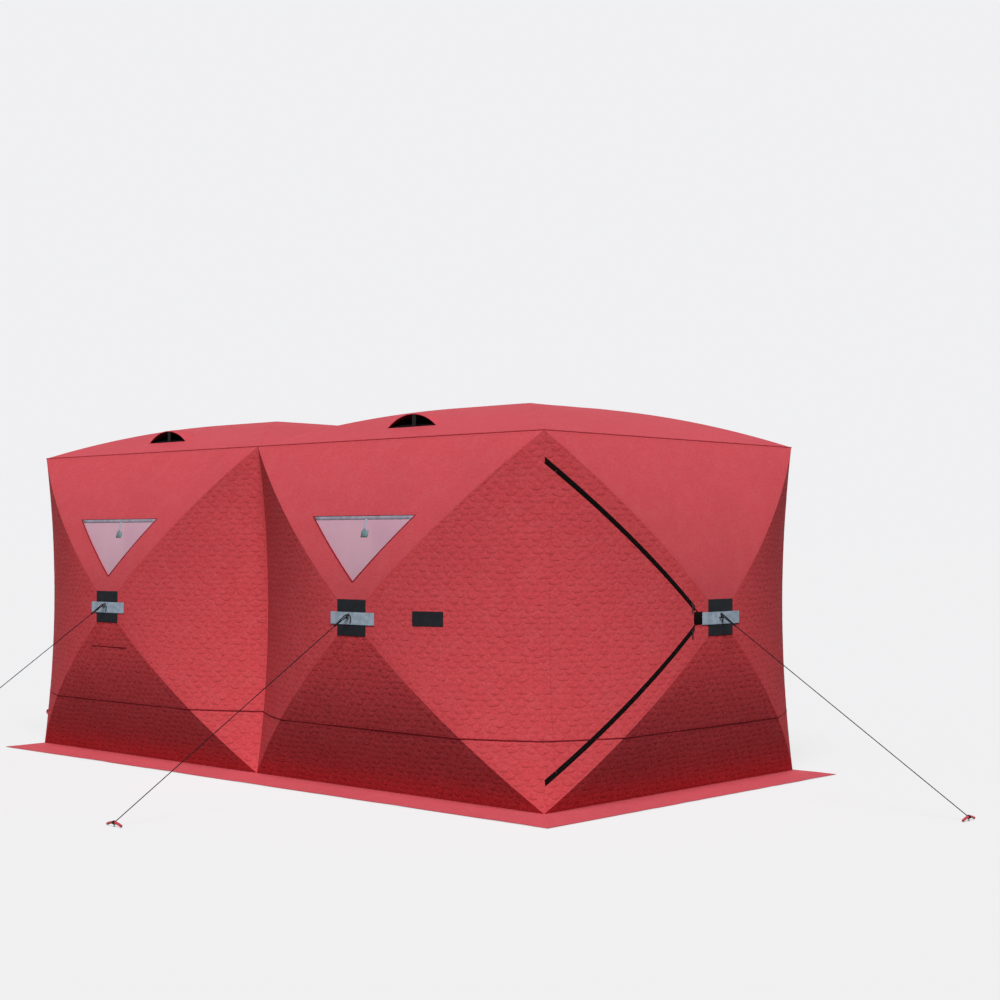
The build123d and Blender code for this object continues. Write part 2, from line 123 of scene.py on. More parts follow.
def effect(name, inputs, outputs):
    group = bpy.data.node_groups.new(name, "ShaderNodeTree")
    for label, (kind, value) in inputs.items():
        socket = group.interface.new_socket(name=label, in_out="INPUT", socket_type="NodeSocket" + kind)
        if value is not None:
            socket.default_value = value
    for label, kind in outputs.items():
        group.interface.new_socket(name=label, in_out="OUTPUT", socket_type="NodeSocket" + kind)
    return group, group.nodes.new("NodeGroupInput").outputs, group.nodes.new("NodeGroupOutput")


def yarnWaves(tree, vector, size, weights):  # two sets of yarns at right angles, from a vector in metres
    parts = put(tree, "SeparateXYZ", {0: vector})
    waves = [times(tree, calc(tree, "SINE", times(tree, calc(tree, "DIVIDE", parts.outputs[i], size), 2 * pi)),
                   weights[i]) for i in (0, 1)]
    return calc(tree, "ADD", *waves)


def surface(name):
    material = bpy.data.materials.new(name)
    material.use_nodes = True
    tree = material.node_tree
    return material, tree, tree.nodes["Principled BSDF"]


def uvMap(tree):
    return put(tree, "UVMap", uv_map="UVMap").outputs[0]


def attribute(tree, name):
    return put(tree, "Attribute", attribute_name=name).outputs["Fac"]


def roughen(tree, shader, height, strength, distance):
    bump = put(tree, "Bump", {"Height": height, "Strength": strength, "Distance": distance})
    tree.links.new(bump.outputs[0], shader.inputs["Normal"])


# weave of the coated cloth
weave, into, out = effect("clothWeave", {"Vector": ("Vector", None), "Yarn": ("Float", 0.0012)},
                          {"Height": "Float", "Fleck": "Float"})
wire(weave, out, {"Height": yarnWaves(weave, into["Vector"], into["Yarn"], (0.5, 0.5)),
                  "Fleck": clouds(weave, into["Vector"], 240.0, 2.0)})

# quilting in rows of hanging scales, each row half a scale along from the one under it, with painted shade in
# the groove along each scale's edge
scale = {"width": 0.055, "row": 0.026, "line": 0.0046, "curl": 3.6, "inked": (0.36, 0.6), "ends": (0.3, 0.9),
         "sway": ((0.0050, 31, 17, 0.0), (0.0030, -47, 71, 1.3)),  # size, two rates and start of each sway
         "heave": ((0.0036, 23, -29, 0.7), (0.0018, 61, 37, 2.1))}
quilt, into, out = effect("scaleQuilting", {"Vector": ("Vector", None), "Width": ("Float", scale["width"]),
                                            "Row": ("Float", scale["row"]), "Line": ("Float", scale["line"])},
                          {"Puff": "Float", "Groove": "Float"})
row, line = into["Row"], into["Line"]
parts = put(quilt, "SeparateXYZ", {0: into["Vector"]})


def swayed(start, waves):
    total = start
    for size, acrossRate, upRate, late in waves:
        angle = calc(quilt, "ADD", calc(quilt, "MULTIPLY_ADD", parts.outputs[0], acrossRate, late),
                     times(quilt, parts.outputs[1], upRate))
        total = calc(quilt, "MULTIPLY_ADD", calc(quilt, "SINE", angle), size, total)
    return total


along, upward = swayed(parts.outputs[0], scale["sway"]), swayed(parts.outputs[1], scale["heave"])
halfWidth = times(quilt, into["Width"], 0.5)


def scaleEdge(number):  # height of the lower edge of the scales in a row, and how far along the scale it is
    moved = calc(quilt, "MULTIPLY_ADD", number, halfWidth, along)
    share = calc(quilt, "DIVIDE", calc(quilt, "PINGPONG", moved, halfWidth), halfWidth)
    return times(quilt, row, calc(quilt, "ADD", number, calc(quilt, "POWER", share, scale["curl"]))), share


def shadeUnderEdge(distance, share, thick):  # painted shade in the groove under an edge, fainter at the ends of the scale
    return times(quilt, ramp(quilt, distance, 1.0, 0.0, 0.0, thick),
                 ramp(quilt, share, 1.0, 0.6, *scale["ends"]))


firstRow = calc(quilt, "FLOOR", calc(quilt, "DIVIDE", upward, row))
isAbove = calc(quilt, "GREATER_THAN", upward, scaleEdge(firstRow)[0])
ownRow = calc(quilt, "SUBTRACT", calc(quilt, "ADD", firstRow, isAbove), 1.0)
lowerEdge, lowerShare = scaleEdge(ownRow)
upperEdge, upperShare = scaleEdge(calc(quilt, "ADD", ownRow, 1.0))
fromLower, fromUpper = calc(quilt, "SUBTRACT", upward, lowerEdge), calc(quilt, "SUBTRACT", upperEdge, upward)
strength = ramp(quilt, clouds(quilt, into["Vector"], 26.0, 2.0), 0.25, 1.0, *scale["inked"])
lines = calc(quilt, "MAXIMUM", shadeUnderEdge(fromLower, lowerShare, line),
             shadeUnderEdge(fromUpper, upperShare, times(quilt, line, 0.5)))
wire(quilt, out, {"Groove": times(quilt, lines, strength),
                  "Puff": times(quilt, ramp(quilt, fromLower, 0.0, 1.0, 0.0, times(quilt, row, 0.5)),
                                ramp(quilt, fromUpper, 0.0, 1.0, 0.0, times(quilt, row, 1.2)))})

# slow changes of tone over a panel, and the wear, the creases with painted shade in their hollows, and the
# stitching
panelTone, into, out = effect("panelTone", {"Color": ("Color", None), "Vector": ("Vector", None),
                                            "Seam": ("Float", 1.0), "Stitch At": ("Float", 0.009),
                                            "Amount": ("Float", 0.5), "Crinkle": ("Float", 0.2)},
                              {"Color": "Color", "Stitch": "Float", "Creases": "Float"})
toning = {"slow": (2.2, 3.0, 0.55), "slowTint": (0.5, 0.42, 0.45, 1.0), "grime": (14.0, 5.0, 0.6),
          "grimeTint": (1.0, 0.7, 0.7, 1.0), "creases": (95.0, 4.0, 0.62, 0.7), "squeeze": (0.75, 1.15, 1.0),
          "creaseTint": (0.42, 0.32, 0.34, 1.0), "stitchHalf": 0.0022, "thread": (0.16, 0.01, 0.015, 1.0)}
vector, toned = into["Vector"], into["Color"]
flattened = put(panelTone, "Mapping", {"Vector": vector, "Scale": toning["squeeze"]}).outputs[0]
creases = clouds(panelTone, flattened, *toning["creases"])
# the third of these darkens the colour in the creases' hollows, which is painted shade
for mask, amount, tint, how in (
        (ramp(panelTone, clouds(panelTone, vector, *toning["slow"]), 0.0, 0.2, 0.35, 0.7),
         into["Amount"], toning["slowTint"], "MULTIPLY"),
        (ramp(panelTone, clouds(panelTone, vector, *toning["grime"]), 0.0, 0.045, 0.4, 0.75),
         into["Amount"], toning["grimeTint"], "SCREEN"),
        (ramp(panelTone, creases, 1.0, 0.0, 0.30, 0.64), into["Crinkle"], toning["creaseTint"], "MULTIPLY")):
    toned = blendColour(panelTone, times(panelTone, mask, amount), toned, tint, how)
parts = put(panelTone, "SeparateXYZ", {0: vector})
offStitch = calc(panelTone, "ABSOLUTE", calc(panelTone, "SUBTRACT", into["Seam"], into["Stitch At"]))
dash = calc(panelTone, "PINGPONG", calc(panelTone, "ADD", *parts.outputs[:2]), toning["stitchHalf"])
stitch = times(panelTone, ramp(panelTone, offStitch, 1.0, 0.0, 0.0003, 0.0011),
               ramp(panelTone, dash, 0.0, 1.0, 0.0002, 0.0008))
wire(panelTone, out, {"Color": blendColour(panelTone, times(panelTone, stitch, 0.22), toned, toning["thread"]),
                      "Stitch": stitch, "Creases": creases})

reliefs = {"plain": {"creases": 2.4, "yarns": 0.1, "stitches": 1.0, "strength": 0.5, "depth": 0.0006},
           "quilted": {"creases": 1.3, "yarns": 0.03, "stitches": 0.2, "strength": 0.6, "depth": 0.0012}}


def clothMaterial(name, red, green, blue, roughness=0.62, tone=0.4, sheen=0.06, inked=0.0):
    # the last argument is how dark the painted shade in the quilting's grooves is, and plain cloth has none
    relief = reliefs["quilted" if inked else "plain"]
    material, tree, shader = surface(name)
    uv = uvMap(tree)
    toned = place(tree, panelTone, {"Color": colour(red, green, blue), "Vector": uv, "Amount": tone,
                                    "Seam": attribute(tree, "seam"), "Crinkle": max(0.2, inked * 0.68)})
    yarns = place(tree, weave, {"Vector": uv})
    body = toned["Color"]
    height = calc(tree, "ADD", times(tree, toned["Creases"], relief["creases"]), calc(
        tree, "SUBTRACT", times(tree, yarns["Height"], relief["yarns"]),
        times(tree, toned["Stitch"], relief["stitches"])))
    if inked:
        scales, inside = place(tree, quilt, {"Vector": uv}), attribute(tree, "quilted")
        # painted shade: the quilting's grooves are darkened in the base colour
        body = blendColour(tree, times(tree, times(tree, scales["Groove"], inside), inked), body,
                           colour(red * 0.5, green * 0.3, blue * 0.3))
        height = calc(tree, "ADD", times(tree, scales["Puff"], inside), height)
    wire(tree, shader, {
        "Base Color": blendColour(tree, times(tree, yarns["Fleck"], 0.16), body, (0.2, 0.2, 0.2, 1.0),
                                  "MULTIPLY"),
        "Roughness": ramp(tree, yarns["Fleck"], roughness - 0.06, roughness + 0.06), "Sheen Weight": sheen,
        "Sheen Tint": colour(red, green, blue), "Sheen Roughness": 0.5, "Specular IOR Level": 0.02})
    roughen(tree, shader, height, relief["strength"], relief["depth"])
    return material


roofCloth = clothMaterial("roofCloth", 196, 78, 88, tone=0.35)
shellCloth = clothMaterial("shellCloth", 204, 80, 88)
quiltedCloth = clothMaterial("quiltedCloth", 208, 76, 82, 0.66, inked=0.52)
lowerCloth = clothMaterial("lowerCloth", 205, 70, 76, 0.66, inked=0.78)
skirtCloth = clothMaterial("skirtCloth", 200, 84, 94)
linerCloth = clothMaterial("linerCloth", 34, 22, 26, 0.8, tone=0.5, sheen=0.0)
print("cloth materials made")

# the shelter's shape, the same as the frame's
hut = {"width": 1.8, "eave": 1.565, "hem": 0.024, "hub": 0.790, "outset": 0.222, "bow": 0.060,
       "roofRise": 0.196, "roofBow": 0.050, "corner": 0.054, "middle": 0.065}
eave, hem, hub, half = hut["eave"], hut["hem"], hut["hub"], hut["width"] / 2
wallBays = {  # middle of the bay, the way along it, and its left and right seams
    "front_left": ((-half, -half), (1, 0), "corner", "middle"),
    "front_right": ((half, -half), (1, 0), "middle", "corner"),
    "right_end": ((2 * half, 0), (0, 1), "corner", "corner"),
    "back_right": ((half, half), (-1, 0), "corner", "middle"),
    "back_left": ((-half, half), (-1, 0), "middle", "corner"),
    "left_end": ((-2 * half, 0), (0, -1), "corner", "corner"),
}


def onWall(bay, along, height, out):
    middle, way = wallBays[bay][:2]
    return Vector((middle[0] + way[0] * along + way[1] * out,
                   middle[1] + way[1] * along - way[0] * out, height))


def poleLine(share):
    return hut["outset"] * share + 4 * share * (1 - share) * hut["bow"]


def slopeOut(along, height):  # upper and lower panels
    limit = eave if height > hub else hem
    return poleLine((height - limit) / (hub - limit))


def sideOut(along, height, seam):
    share = 1 - abs(along) / half
    low, high = hem + (hub - hem) * share, eave - (eave - hub) * share
    rising = min(1, max(0, (height - low) / max(high - low, 1e-6)))
    return poleLine(share) - 4 * hut[seam] * (1 - share) ** 2 * rising * (1 - rising)


# cloth is a sheet cut to its outline, lifted to the shape and given its thickness
form = {"puff": 0.0009, "ripple": 0.0022, "thick": 0.0034, "fade": 0.045, "quiltFade": 0.006, "sharp": 38,
        "ripples": ((1, 2.6, 7.3), (0.5, 6.5, 3.1))}  # size, rate and step between panels of each ripple


def scalePuff(along, up):  # the quilting's own swell, at the corners of the mesh
    x = along + sum(size * sin(a * along + b * up + late) for size, a, b, late in scale["sway"])
    y = up + sum(size * sin(a * along + b * up + late) for size, a, b, late in scale["heave"])
    return 0.5 - 0.5 * cos(2 * pi * x / scale["width"]) * cos(pi * (y / scale["row"] - 0.55))


def sides(outline):
    return zip(outline, outline[1:] + outline[:1])


def inward(outline, along, up):  # how far a point is inside the nearest edge, less than nothing if outside
    return min(((x2 - x1) * (up - y1) - (y2 - y1) * (along - x1)) / hypot(x2 - x1, y2 - y1)
               for (x1, y1), (x2, y2) in sides(outline))


def cutMesh(work, point, normal, clear):
    bmesh.ops.bisect_plane(work, geom=work.verts[:] + work.edges[:] + work.faces[:], dist=1e-6,
                           plane_co=point, plane_no=normal, clear_outer=clear)


def cutAlong(work, outline, clear):
    for (x1, y1), (x2, y2) in sides(outline):
        cutMesh(work, (x1, y1, 0), (y2 - y1, x1 - x2, 0), clear)


def dropFaces(work, unwanted):
    bmesh.ops.delete(work, context="FACES", geom=[
        f for f in work.faces if unwanted(*f.calc_center_median().xy)])


def clothPanel(name, outline, lift, material, step=(0.02, 0.02), hole=None, cutAway=None, quilted=False,
               seed=0, mitres=(), inner=None, thick=form["thick"], ripple=form["ripple"], sewn=None):
    # outline and hole run anticlockwise seen from outside, in metres along and up; sewn is where its seams are
    work = bmesh.new()
    columns, rows = (range(floor(min(p[i] for p in outline) / step[i]),
                           ceil(max(p[i] for p in outline) / step[i]) + 1) for i in (0, 1))
    grid = [[work.verts.new((i * step[0], j * step[1], 0)) for i in columns] for j in rows]
    for under, over in zip(grid, grid[1:]):
        for i in range(len(under) - 1):
            work.faces.new((under[i], under[i + 1], over[i + 1], over[i]))
    cutAlong(work, outline, True)
    if hole:
        cutAlong(work, hole, False)
        dropFaces(work, lambda along, up: inward(hole, along, up) > 0)
    if cutAway:
        dropFaces(work, cutAway)
    uv = work.loops.layers.uv.new("UVMap")
    seamLayer = work.verts.layers.float.new("seam")
    quiltLayer = work.verts.layers.float.new("quilted")
    for face in work.faces:
        face.smooth = True
        for loop in face.loops:
            loop[uv].uv = loop.vert.co.xy
    for vert in work.verts:
        along, up = vert.co.xy
        near = max(0.0, inward(sewn or outline, along, up))
        if hole:
            near = min(near, max(0.0, -inward(hole, along, up)))
        fade = min(1, near / form["fade"])
        fade *= fade * (3 - 2 * fade)
        out = ripple * fade * sum(size * noise.noise(Vector((along * rate, up * rate, seed * apart)))
                                  for size, rate, apart in form["ripples"])
        vert[seamLayer] = near
        if quilted:
            vert[quiltLayer] = min(1, near / form["quiltFade"])
            out += form["puff"] * scalePuff(along, up) * fade
        vert.co = lift(along, up, out)
    for point, normal in mitres:
        cutMesh(work, point, normal, True)
    work.normal_update()
    mesh = bpy.data.meshes.new(name)
    work.to_mesh(mesh)
    work.free()
    piece = addPiece(name, mesh, material, inner or material)
    body = piece.modifiers.new("thickness", "SOLIDIFY")
    body.thickness = thick
    body.offset = -1
    body.use_even_offset = True
    body.material_offset = 1
    bpy.context.view_layer.objects.active = piece
    piece.select_set(True)
    bpy.ops.object.modifier_apply(modifier=body.name)
    piece.select_set(False)
    piece.data.set_sharp_from_angle(angle=radians(form["sharp"]))
    return piece


def addPiece(name, mesh, *materials):
    piece = bpy.data.objects.new(name, mesh)
    bpy.context.scene.collection.objects.link(piece)
    for material in materials:
        mesh.materials.append(material)
    return piece


def pointOut(mesh):  # all its faces turned outward
    work = bmesh.new()
    work.from_mesh(mesh)
    bmesh.ops.recalc_face_normals(work, faces=work.faces[:])
    work.to_mesh(mesh)
    work.free()


def ribbon(name, stations, profile, material, closed=False, smooth=False):
    # each station is a point, a sideways vector and an outward one; the profile is in metres along those two
    points, faces, lengths = [], [], [0.0]
    count = len(profile)
    for index, (middle, side, out) in enumerate(stations):
        points += [middle + side * x + out * y for x, y in profile]
        if index:
            lengths.append(lengths[-1] + (middle - stations[index - 1][0]).length)
    for i in range(len(stations) - 1 + closed):
        j = (i + 1) % len(stations)
        for k in range(count):
            n = (k + 1) % count
            faces.append((i * count + k, i * count + n, j * count + n, j * count + k))
    if not closed:
        faces.append(tuple(range(count - 1, -1, -1)))
        faces.append(tuple(range((len(stations) - 1) * count, len(stations) * count)))
    mesh = bpy.data.meshes.new(name)
    mesh.from_pydata(points, [], faces)
    mesh.polygons.foreach_set("use_smooth", [smooth] * len(faces))
    uv = mesh.uv_layers.new(name="UVMap")
    girths = [0.0]
    for (x1, y1), (x2, y2) in sides(profile):
        girths.append(girths[-1] + hypot(x2 - x1, y2 - y1))
    for polygon in mesh.polygons:
        for corner, loop in enumerate(polygon.loop_indices):
            vertex = mesh.loops[loop].vertex_index
            around = girths[vertex % count]
            if polygon.index < len(stations) * count and vertex % count == 0 and corner in (1, 2):
                around = girths[-1]
            uv.data[loop].uv = (lengths[min(vertex // count, len(lengths) - 1)], around)
    pointOut(mesh)
    return addPiece(name, mesh, material)


def settle(piece, body, slot, *nodes):
    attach(piece, body)
    if nodes:
        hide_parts(*nodes)


# wall panels, one mesh for each piece of cloth
window = {"width": 0.643, "top": 1.227, "bottom": 0.944, "lap": 0.018, "film": 0.001, "behind": 0.0045,
          "ripple": 0.0005}
door = {"drop": 0.111, "gap": 0.006, "hinge": -0.845, "fit": 0.0005, "tip": -0.15, "ripple": 0.001,
        "points": (1.32, 1.31)}
quiltStep = (scale["width"] / 5, scale["row"] / 3)
# flat sizes: cloth turned in at the seams, the area share under which a strip slants, and its spare width
sheets = {"turnIn": 1.06, "slanting": 0.35, "spare": 1.3}


def wallLift(bay, shape):
    return lambda along, up, out: onWall(bay, along, up, shape(along, up) + out)


def sideShape(seam):
    return lambda along, up: sideOut(along, up, seam)


def cornerCut(bay, side):  # the upright plane in which two walls meet
    way = wallBays[bay][1]
    return onWall(bay, side * half, 0, 0), Vector((way[0] * side - way[1], way[1] * side + way[0], 0))


def upperZip(along, inset):
    slope = (eave - hub) / half
    return eave - door["drop"] - slope * (along + half) - inset * hypot(1, slope)


def lowerZip(along, inset):
    slope = (hub - hem) / half
    return hem + door["drop"] + slope * (along + half) + inset * hypot(1, slope)


def declareSheet(piece, outline):
    wide, tall = (max(p[i] for p in outline) - min(p[i] for p in outline) for i in (0, 1))
    area = sum(polygon.area for polygon in piece.data.polygons) / 2  # one side of the cloth
    if area < sheets["slanting"] * wide * tall:  # a slanting strip is measured along its longest edge
        wide = max(hypot(x2 - x1, y2 - y1) for (x1, y1), (x2, y2) in sides(outline))
        tall = area / wide * sheets["spare"]


windowHole = [(-window["width"] / 2, window["top"]), (0, window["bottom"]),
              (window["width"] / 2, window["top"])]
for seed, (bay, (_, _, leftSeam, rightSeam)) in enumerate(wallBays.items()):
    outline = [(-half, eave), (0, hub), (half, eave)]
    piece = clothPanel(bay + "_upperCloth", outline, wallLift(bay, slopeOut), shellCloth, seed=seed,
                       hole=None if bay.endswith("end") else windowHole, inner=linerCloth)
    settle(piece, "shelter", "shell_cloth", bay + "_upper_panel")
    declareSheet(piece, outline)
    outline = [(-half, hem), (half, hem), (0, hub)]
    mitres = [cornerCut(bay, side) for side, seam in ((-1, leftSeam), (1, rightSeam)) if seam == "corner"]
    piece = clothPanel(bay + "_lowerCloth", outline, wallLift(bay, slopeOut), lowerCloth, quiltStep,
                       quilted=True, seed=seed + 10, mitres=mitres, inner=linerCloth)
    settle(piece, "shelter", "quilted_cloth", bay + "_lower_panel")
    declareSheet(piece, outline)
    for side, seam, label in ((-1, leftSeam, "left"), (1, rightSeam, "right")):
        if bay == "right_end" and side == -1:
            continue
        near, far = (hem, eave) if side > 0 else (eave, hem)
        outline = [(side * half, near), (side * half, far), (0, hub)]
        piece = clothPanel(f"{bay}_{label}Side", outline, wallLift(bay, sideShape(seam)), quiltedCloth,
                           quiltStep, quilted=True, seed=seed + 20 + side, inner=linerCloth,
                           mitres=[cornerCut(bay, side)] if seam == "corner" else ())
        settle(piece, "shelter", "quilted_cloth", bay + "_side_panels")
        declareSheet(piece, outline)
print("wall panels made")

# the door's half of the right end bay: the flap between its zips, and the cloth round it
gap, hinge, tip, doorShape = door["gap"] / 2, door["hinge"], door["tip"], sideShape("corner")
nearHinge, offHinge = hinge - door["fit"] / 2, hinge + door["fit"] / 2
upperEnd = (-half + (eave - door["drop"] - hub + gap * door["points"][0]) / ((eave - hub) / half), hub)
lowerEnd = (-half + (hub - hem - door["drop"] + gap * door["points"][1]) / ((hub - hem) / half), hub)
doorCloths = {
    "doorUpperStrip": ("shelter", "door_upper_strip", [
        (-half, eave), (-half, upperZip(-half, -gap)), upperEnd, (0, hub)]),
    "doorLowerStrip": ("shelter", "door_lower_strip", [
        (-half, lowerZip(-half, -gap)), (-half, hem), (0, hub), lowerEnd]),
    "doorHingeStrip": ("shelter", "door_hinge_strip", [
        (-half, upperZip(-half, -gap)), (-half, lowerZip(-half, -gap)),
        (nearHinge, lowerZip(hinge, -gap)), (nearHinge, upperZip(hinge, -gap))]),
    "doorFlap": ("door", "door_flap", [
        (offHinge, upperZip(hinge, gap)), (offHinge, lowerZip(hinge, gap)),
        (tip, lowerZip(tip, gap)), (tip, upperZip(tip, gap))]),
}
for name, (body, node, outline) in doorCloths.items():
    mitres = [cornerCut("right_end", -1)] if body == "shelter" else ()
    piece = clothPanel(name, outline, wallLift("right_end", doorShape), quiltedCloth, quiltStep, quilted=True,
                       seed=40, inner=linerCloth, mitres=mitres, ripple=door["ripple"],
                       sewn=[(-half, eave), (-half, hem), (0, hub)])
    settle(piece, body, "quilted_cloth", node)
    declareSheet(piece, outline)
print("door made")

# roof panels, four to a bay, with a vent hole in each that slopes to a long wall
vent = {"mouth": 0.75, "sill": 0.004, "shift": -0.012, "hole": (0.155, 0.138), "ripple": 0.0008}


def roofHeight(share):
    return eave + hut["roofRise"] * share + 4 * share * (1 - share) * hut["roofBow"]


def roofLift(middleX, outway):  # outway points down the slope, seen from above
    alongWay = (-outway[1], outway[0])

    def lift(along, up, out):
        away = half - up
        return Vector((middleX + alongWay[0] * along + outway[0] * away,
                       alongWay[1] * along + outway[1] * away, roofHeight(up / half) + out))
    return lift


def inVent(along, up):
    return up > half - vent["mouth"] + vent["sill"] and hypot(
        (along - vent["shift"]) / vent["hole"][0], (up - half + vent["mouth"]) / vent["hole"][1]) < 1


roofOutline = [(-half, 0), (half, 0), (0, half)]
roofWays = {"front": (0, -1), "right": (1, 0), "back": (0, 1), "left": (-1, 0)}
for bay, middleX in (("left", -half), ("right", half)):
    for seed, (slope, outway) in enumerate(roofWays.items()):
        vented = {"cutAway": inVent, "ripple": vent["ripple"]} if slope in ("front", "back") else {}
        piece = clothPanel(f"roof_{bay}_{slope}Cloth", roofOutline, roofLift(middleX, outway), roofCloth,
                           (0.0125, 0.0125), seed=60 + seed + middleX, inner=linerCloth, **vented)
        settle(piece, "shelter", "roof_cloth", f"roof_{bay}_{slope}_panel")
        declareSheet(piece, roofOutline)
print("roof made")

# skirt, a flat border of cloth round the foot of the walls
skirt = {"run": 0.147, "edge": 0.003, "thick": 0.002, "wave": 0.004, "ripple": 0.3}
skirtLength = hypot(skirt["run"], hem - skirt["edge"])
for seed, (label, origin, way, reach) in enumerate((
        ("front", (0, -half), (1, 0), 2 * half), ("right", (2 * half, 0), (0, 1), half),
        ("back", (0, half), (-1, 0), 2 * half), ("left", (-2 * half, 0), (0, -1), half))):
    def skirtLift(along, up, out, origin=origin, way=way, seed=seed):
        share = up / skirtLength
        away = skirt["run"] * (1 - share)
        lifted = skirt["wave"] * (1 - share) * max(0, noise.noise(Vector((along * 3.1, seed * 5.7, 0.2)))
                                                   + 0.35 * noise.noise(Vector((along * 9, seed, 3))))
        height = skirt["edge"] + (hem - skirt["edge"]) * share + lifted + out * skirt["ripple"]
        return Vector((origin[0] + way[0] * along + way[1] * away, origin[1] + way[1] * along - way[0] * away,
                       height))
    outline = [(-reach - skirt["run"], 0), (reach + skirt["run"], 0), (reach, skirtLength),
               (-reach, skirtLength)]
    piece = clothPanel(label + "SkirtCloth", outline, skirtLift, skirtCloth, (0.025, 0.0185), seed=80 + seed,
                       thick=skirt["thick"])
    settle(piece, "shelter", "skirt_cloth", label + "_skirt")
    declareSheet(piece, outline)
print("skirts made")

# windows, vinyl film behind the cloth, with a fixing band along the top and a pull tab
film, tree, shader = surface("windowFilm")
uv = uvMap(tree)
cloudy = clouds(tree, uv, 5.0, 3.0)
wire(tree, shader, {"Base Color": mottled(tree, cloudy, 0.3, 0.7, (192, 149, 163), (184, 140, 158)),
                    "Roughness": ramp(tree, cloudy, 0.16, 0.3, 0.3, 0.7),
                    "Coat Weight": 0.12, "Coat Roughness": 0.2, "Specular IOR Level": 0.3})
roughen(tree, shader, clouds(tree, uv, 7.0, 1.0), 0.1, 0.002)

webbing, into, out = effect("webbingRibs", {"Vector": ("Vector", None), "Rib": ("Float", 0.0024)},
                            {"Height": "Float"})
wire(webbing, out, {"Height": yarnWaves(webbing, into["Vector"], into["Rib"], (0.3, 0.7))})


def webbingMaterial(name, red, green, blue, roughness=0.75, shine=0.15):
    material, tree, shader = surface(name)
    uv = uvMap(tree)
    patchy = clouds(tree, uv, 30.0, 4.0)
    wire(tree, shader, {
        "Base Color": mottled(tree, patchy, 0.35, 0.65, (red, green, blue),
                              (red * 0.86, green * 0.87, blue * 0.88)),
        "Roughness": ramp(tree, patchy, roughness, roughness + 0.12), "Specular IOR Level": shine})
    roughen(tree, shader, place(tree, webbing, {"Vector": uv})["Height"], 0.4, 0.0004)
    return material


greyWebbing = webbingMaterial("greyWebbing", 160, 174, 188)
bandWebbing = webbingMaterial("bandWebbing", 152, 146, 160)
tabWebbing = webbingMaterial("tabWebbing", 112, 138, 140)
# the seam tape is darker than the cloth: partly the tape's own colour, partly painted shade along the seams
# and the window edges
seamTape = webbingMaterial("seamTape", 128, 22, 30)
blackPatch = webbingMaterial("blackPatch", 26, 29, 34)
eaveTape = webbingMaterial("eaveTape", 158, 44, 54)
loopTape = webbingMaterial("loopTape", 204, 66, 80)
# the zip tape is near black, and its red tinge is painted red light bounced from the cloth
zipTape = webbingMaterial("zipTape", 15, 8, 8, shine=0.04)


def wallOut(bay, along, up):  # how far out the cloth stands at any place on a wall
    share = 1 - min(1, abs(along) / half)
    if up >= eave - (eave - hub) * share or up <= hem + (hub - hem) * share:
        return slopeOut(along, up)
    return sideOut(along, up, wallBays[bay][2 if along < 0 else 3])


def onCloth(bay, along, up):
    return onWall(bay, along, up, wallOut(bay, along, up))


def facing(bay, along, up, step=0.004):  # outward direction of the cloth there
    return (onCloth(bay, along + step, up) - onCloth(bay, along - step, up)).cross(
        onCloth(bay, along, up + step) - onCloth(bay, along, up - step)).normalized()


def wallRibbon(name, bay, line, profile, material, lift=0.0):
    spots = [onCloth(bay, along, up) for along, up in line]
    stations = []
    for i, (along, up) in enumerate(line):
        ahead = (spots[min(i + 1, len(line) - 1)] - spots[max(i - 1, 0)]).normalized()
        out = facing(bay, along, up)
        out = (out - ahead * out.dot(ahead)).normalized()
        stations.append((spots[i] + out * lift, out.cross(ahead), out))
    return ribbon(name, stations, profile, material, smooth=True)


def between(start, end, count):
    return [(start[0] + (end[0] - start[0]) * i / count, start[1] + (end[1] - start[1]) * i / count)
            for i in range(count + 1)]


def flatBar(width, thick):  # profile of tape: a thin bar with eased edges
    w, under, ease = width / 2, -0.0002, thick * 0.25
    return [(-w, under), (w, under), (w, thick - ease), (w - ease, thick), (-w + ease, thick),
            (-w, thick - ease)]


steep = (window["top"] - window["bottom"]) / (window["width"] / 2)
high, low = window["top"] + window["lap"], window["bottom"] - window["lap"] * hypot(1, steep)
filmOutline = [(-(high - low) / steep, high), (0, low), ((high - low) / steep, high)]
edge, top, foot = window["width"] / 2, window["top"] - 0.0005, window["bottom"] - 0.002
tapes = {  # two ends, steps, width, thickness, cloth, and height above the panel
    "_windowBand": ((-edge + 0.004, top - 0.008), (edge - 0.004, top - 0.008), 16, 0.016, 0.001, bandWebbing,
                    -0.0036),
    "_window_leftEdge": ((-edge - 0.001, top), (-0.0015, foot), 12, 0.0048, 0.0012, seamTape, 0.0002),
    "_window_rightEdge": ((edge + 0.001, top), (0.0015, foot), 12, 0.0048, 0.0012, seamTape, 0.0002),
    "_windowStrap": ((0.025, 1.212), (0.025, 1.166), 6, 0.010, 0.0012, greyWebbing, -0.0034),
    "_windowTab": ((0.012, 1.150), (0.052, 1.150), 4, 0.030, 0.002, tabWebbing, -0.0034),
}
for seed, bay in enumerate(wallBays):
    if bay.endswith("end"):
        continue
    pane = clothPanel(bay + "_windowFilm", filmOutline,
                      wallLift(bay, lambda along, up: slopeOut(along, up) - window["behind"]),
                      film, seed=seed, thick=window["film"], ripple=window["ripple"])
    settle(pane, "shelter", "window_film", bay[:bay.index("_")] + "_windows")
    taped = {}
    for name, (start, end, steps, wide, thick, material, lift) in tapes.items():
        taped[name] = wallRibbon(bay + name, bay, between(start, end, steps), flatBar(wide, thick), material,
                                 lift)
        settle(taped[name], "shelter", "window_film")
    declareSheet(pane, filmOutline)
print("windows made")

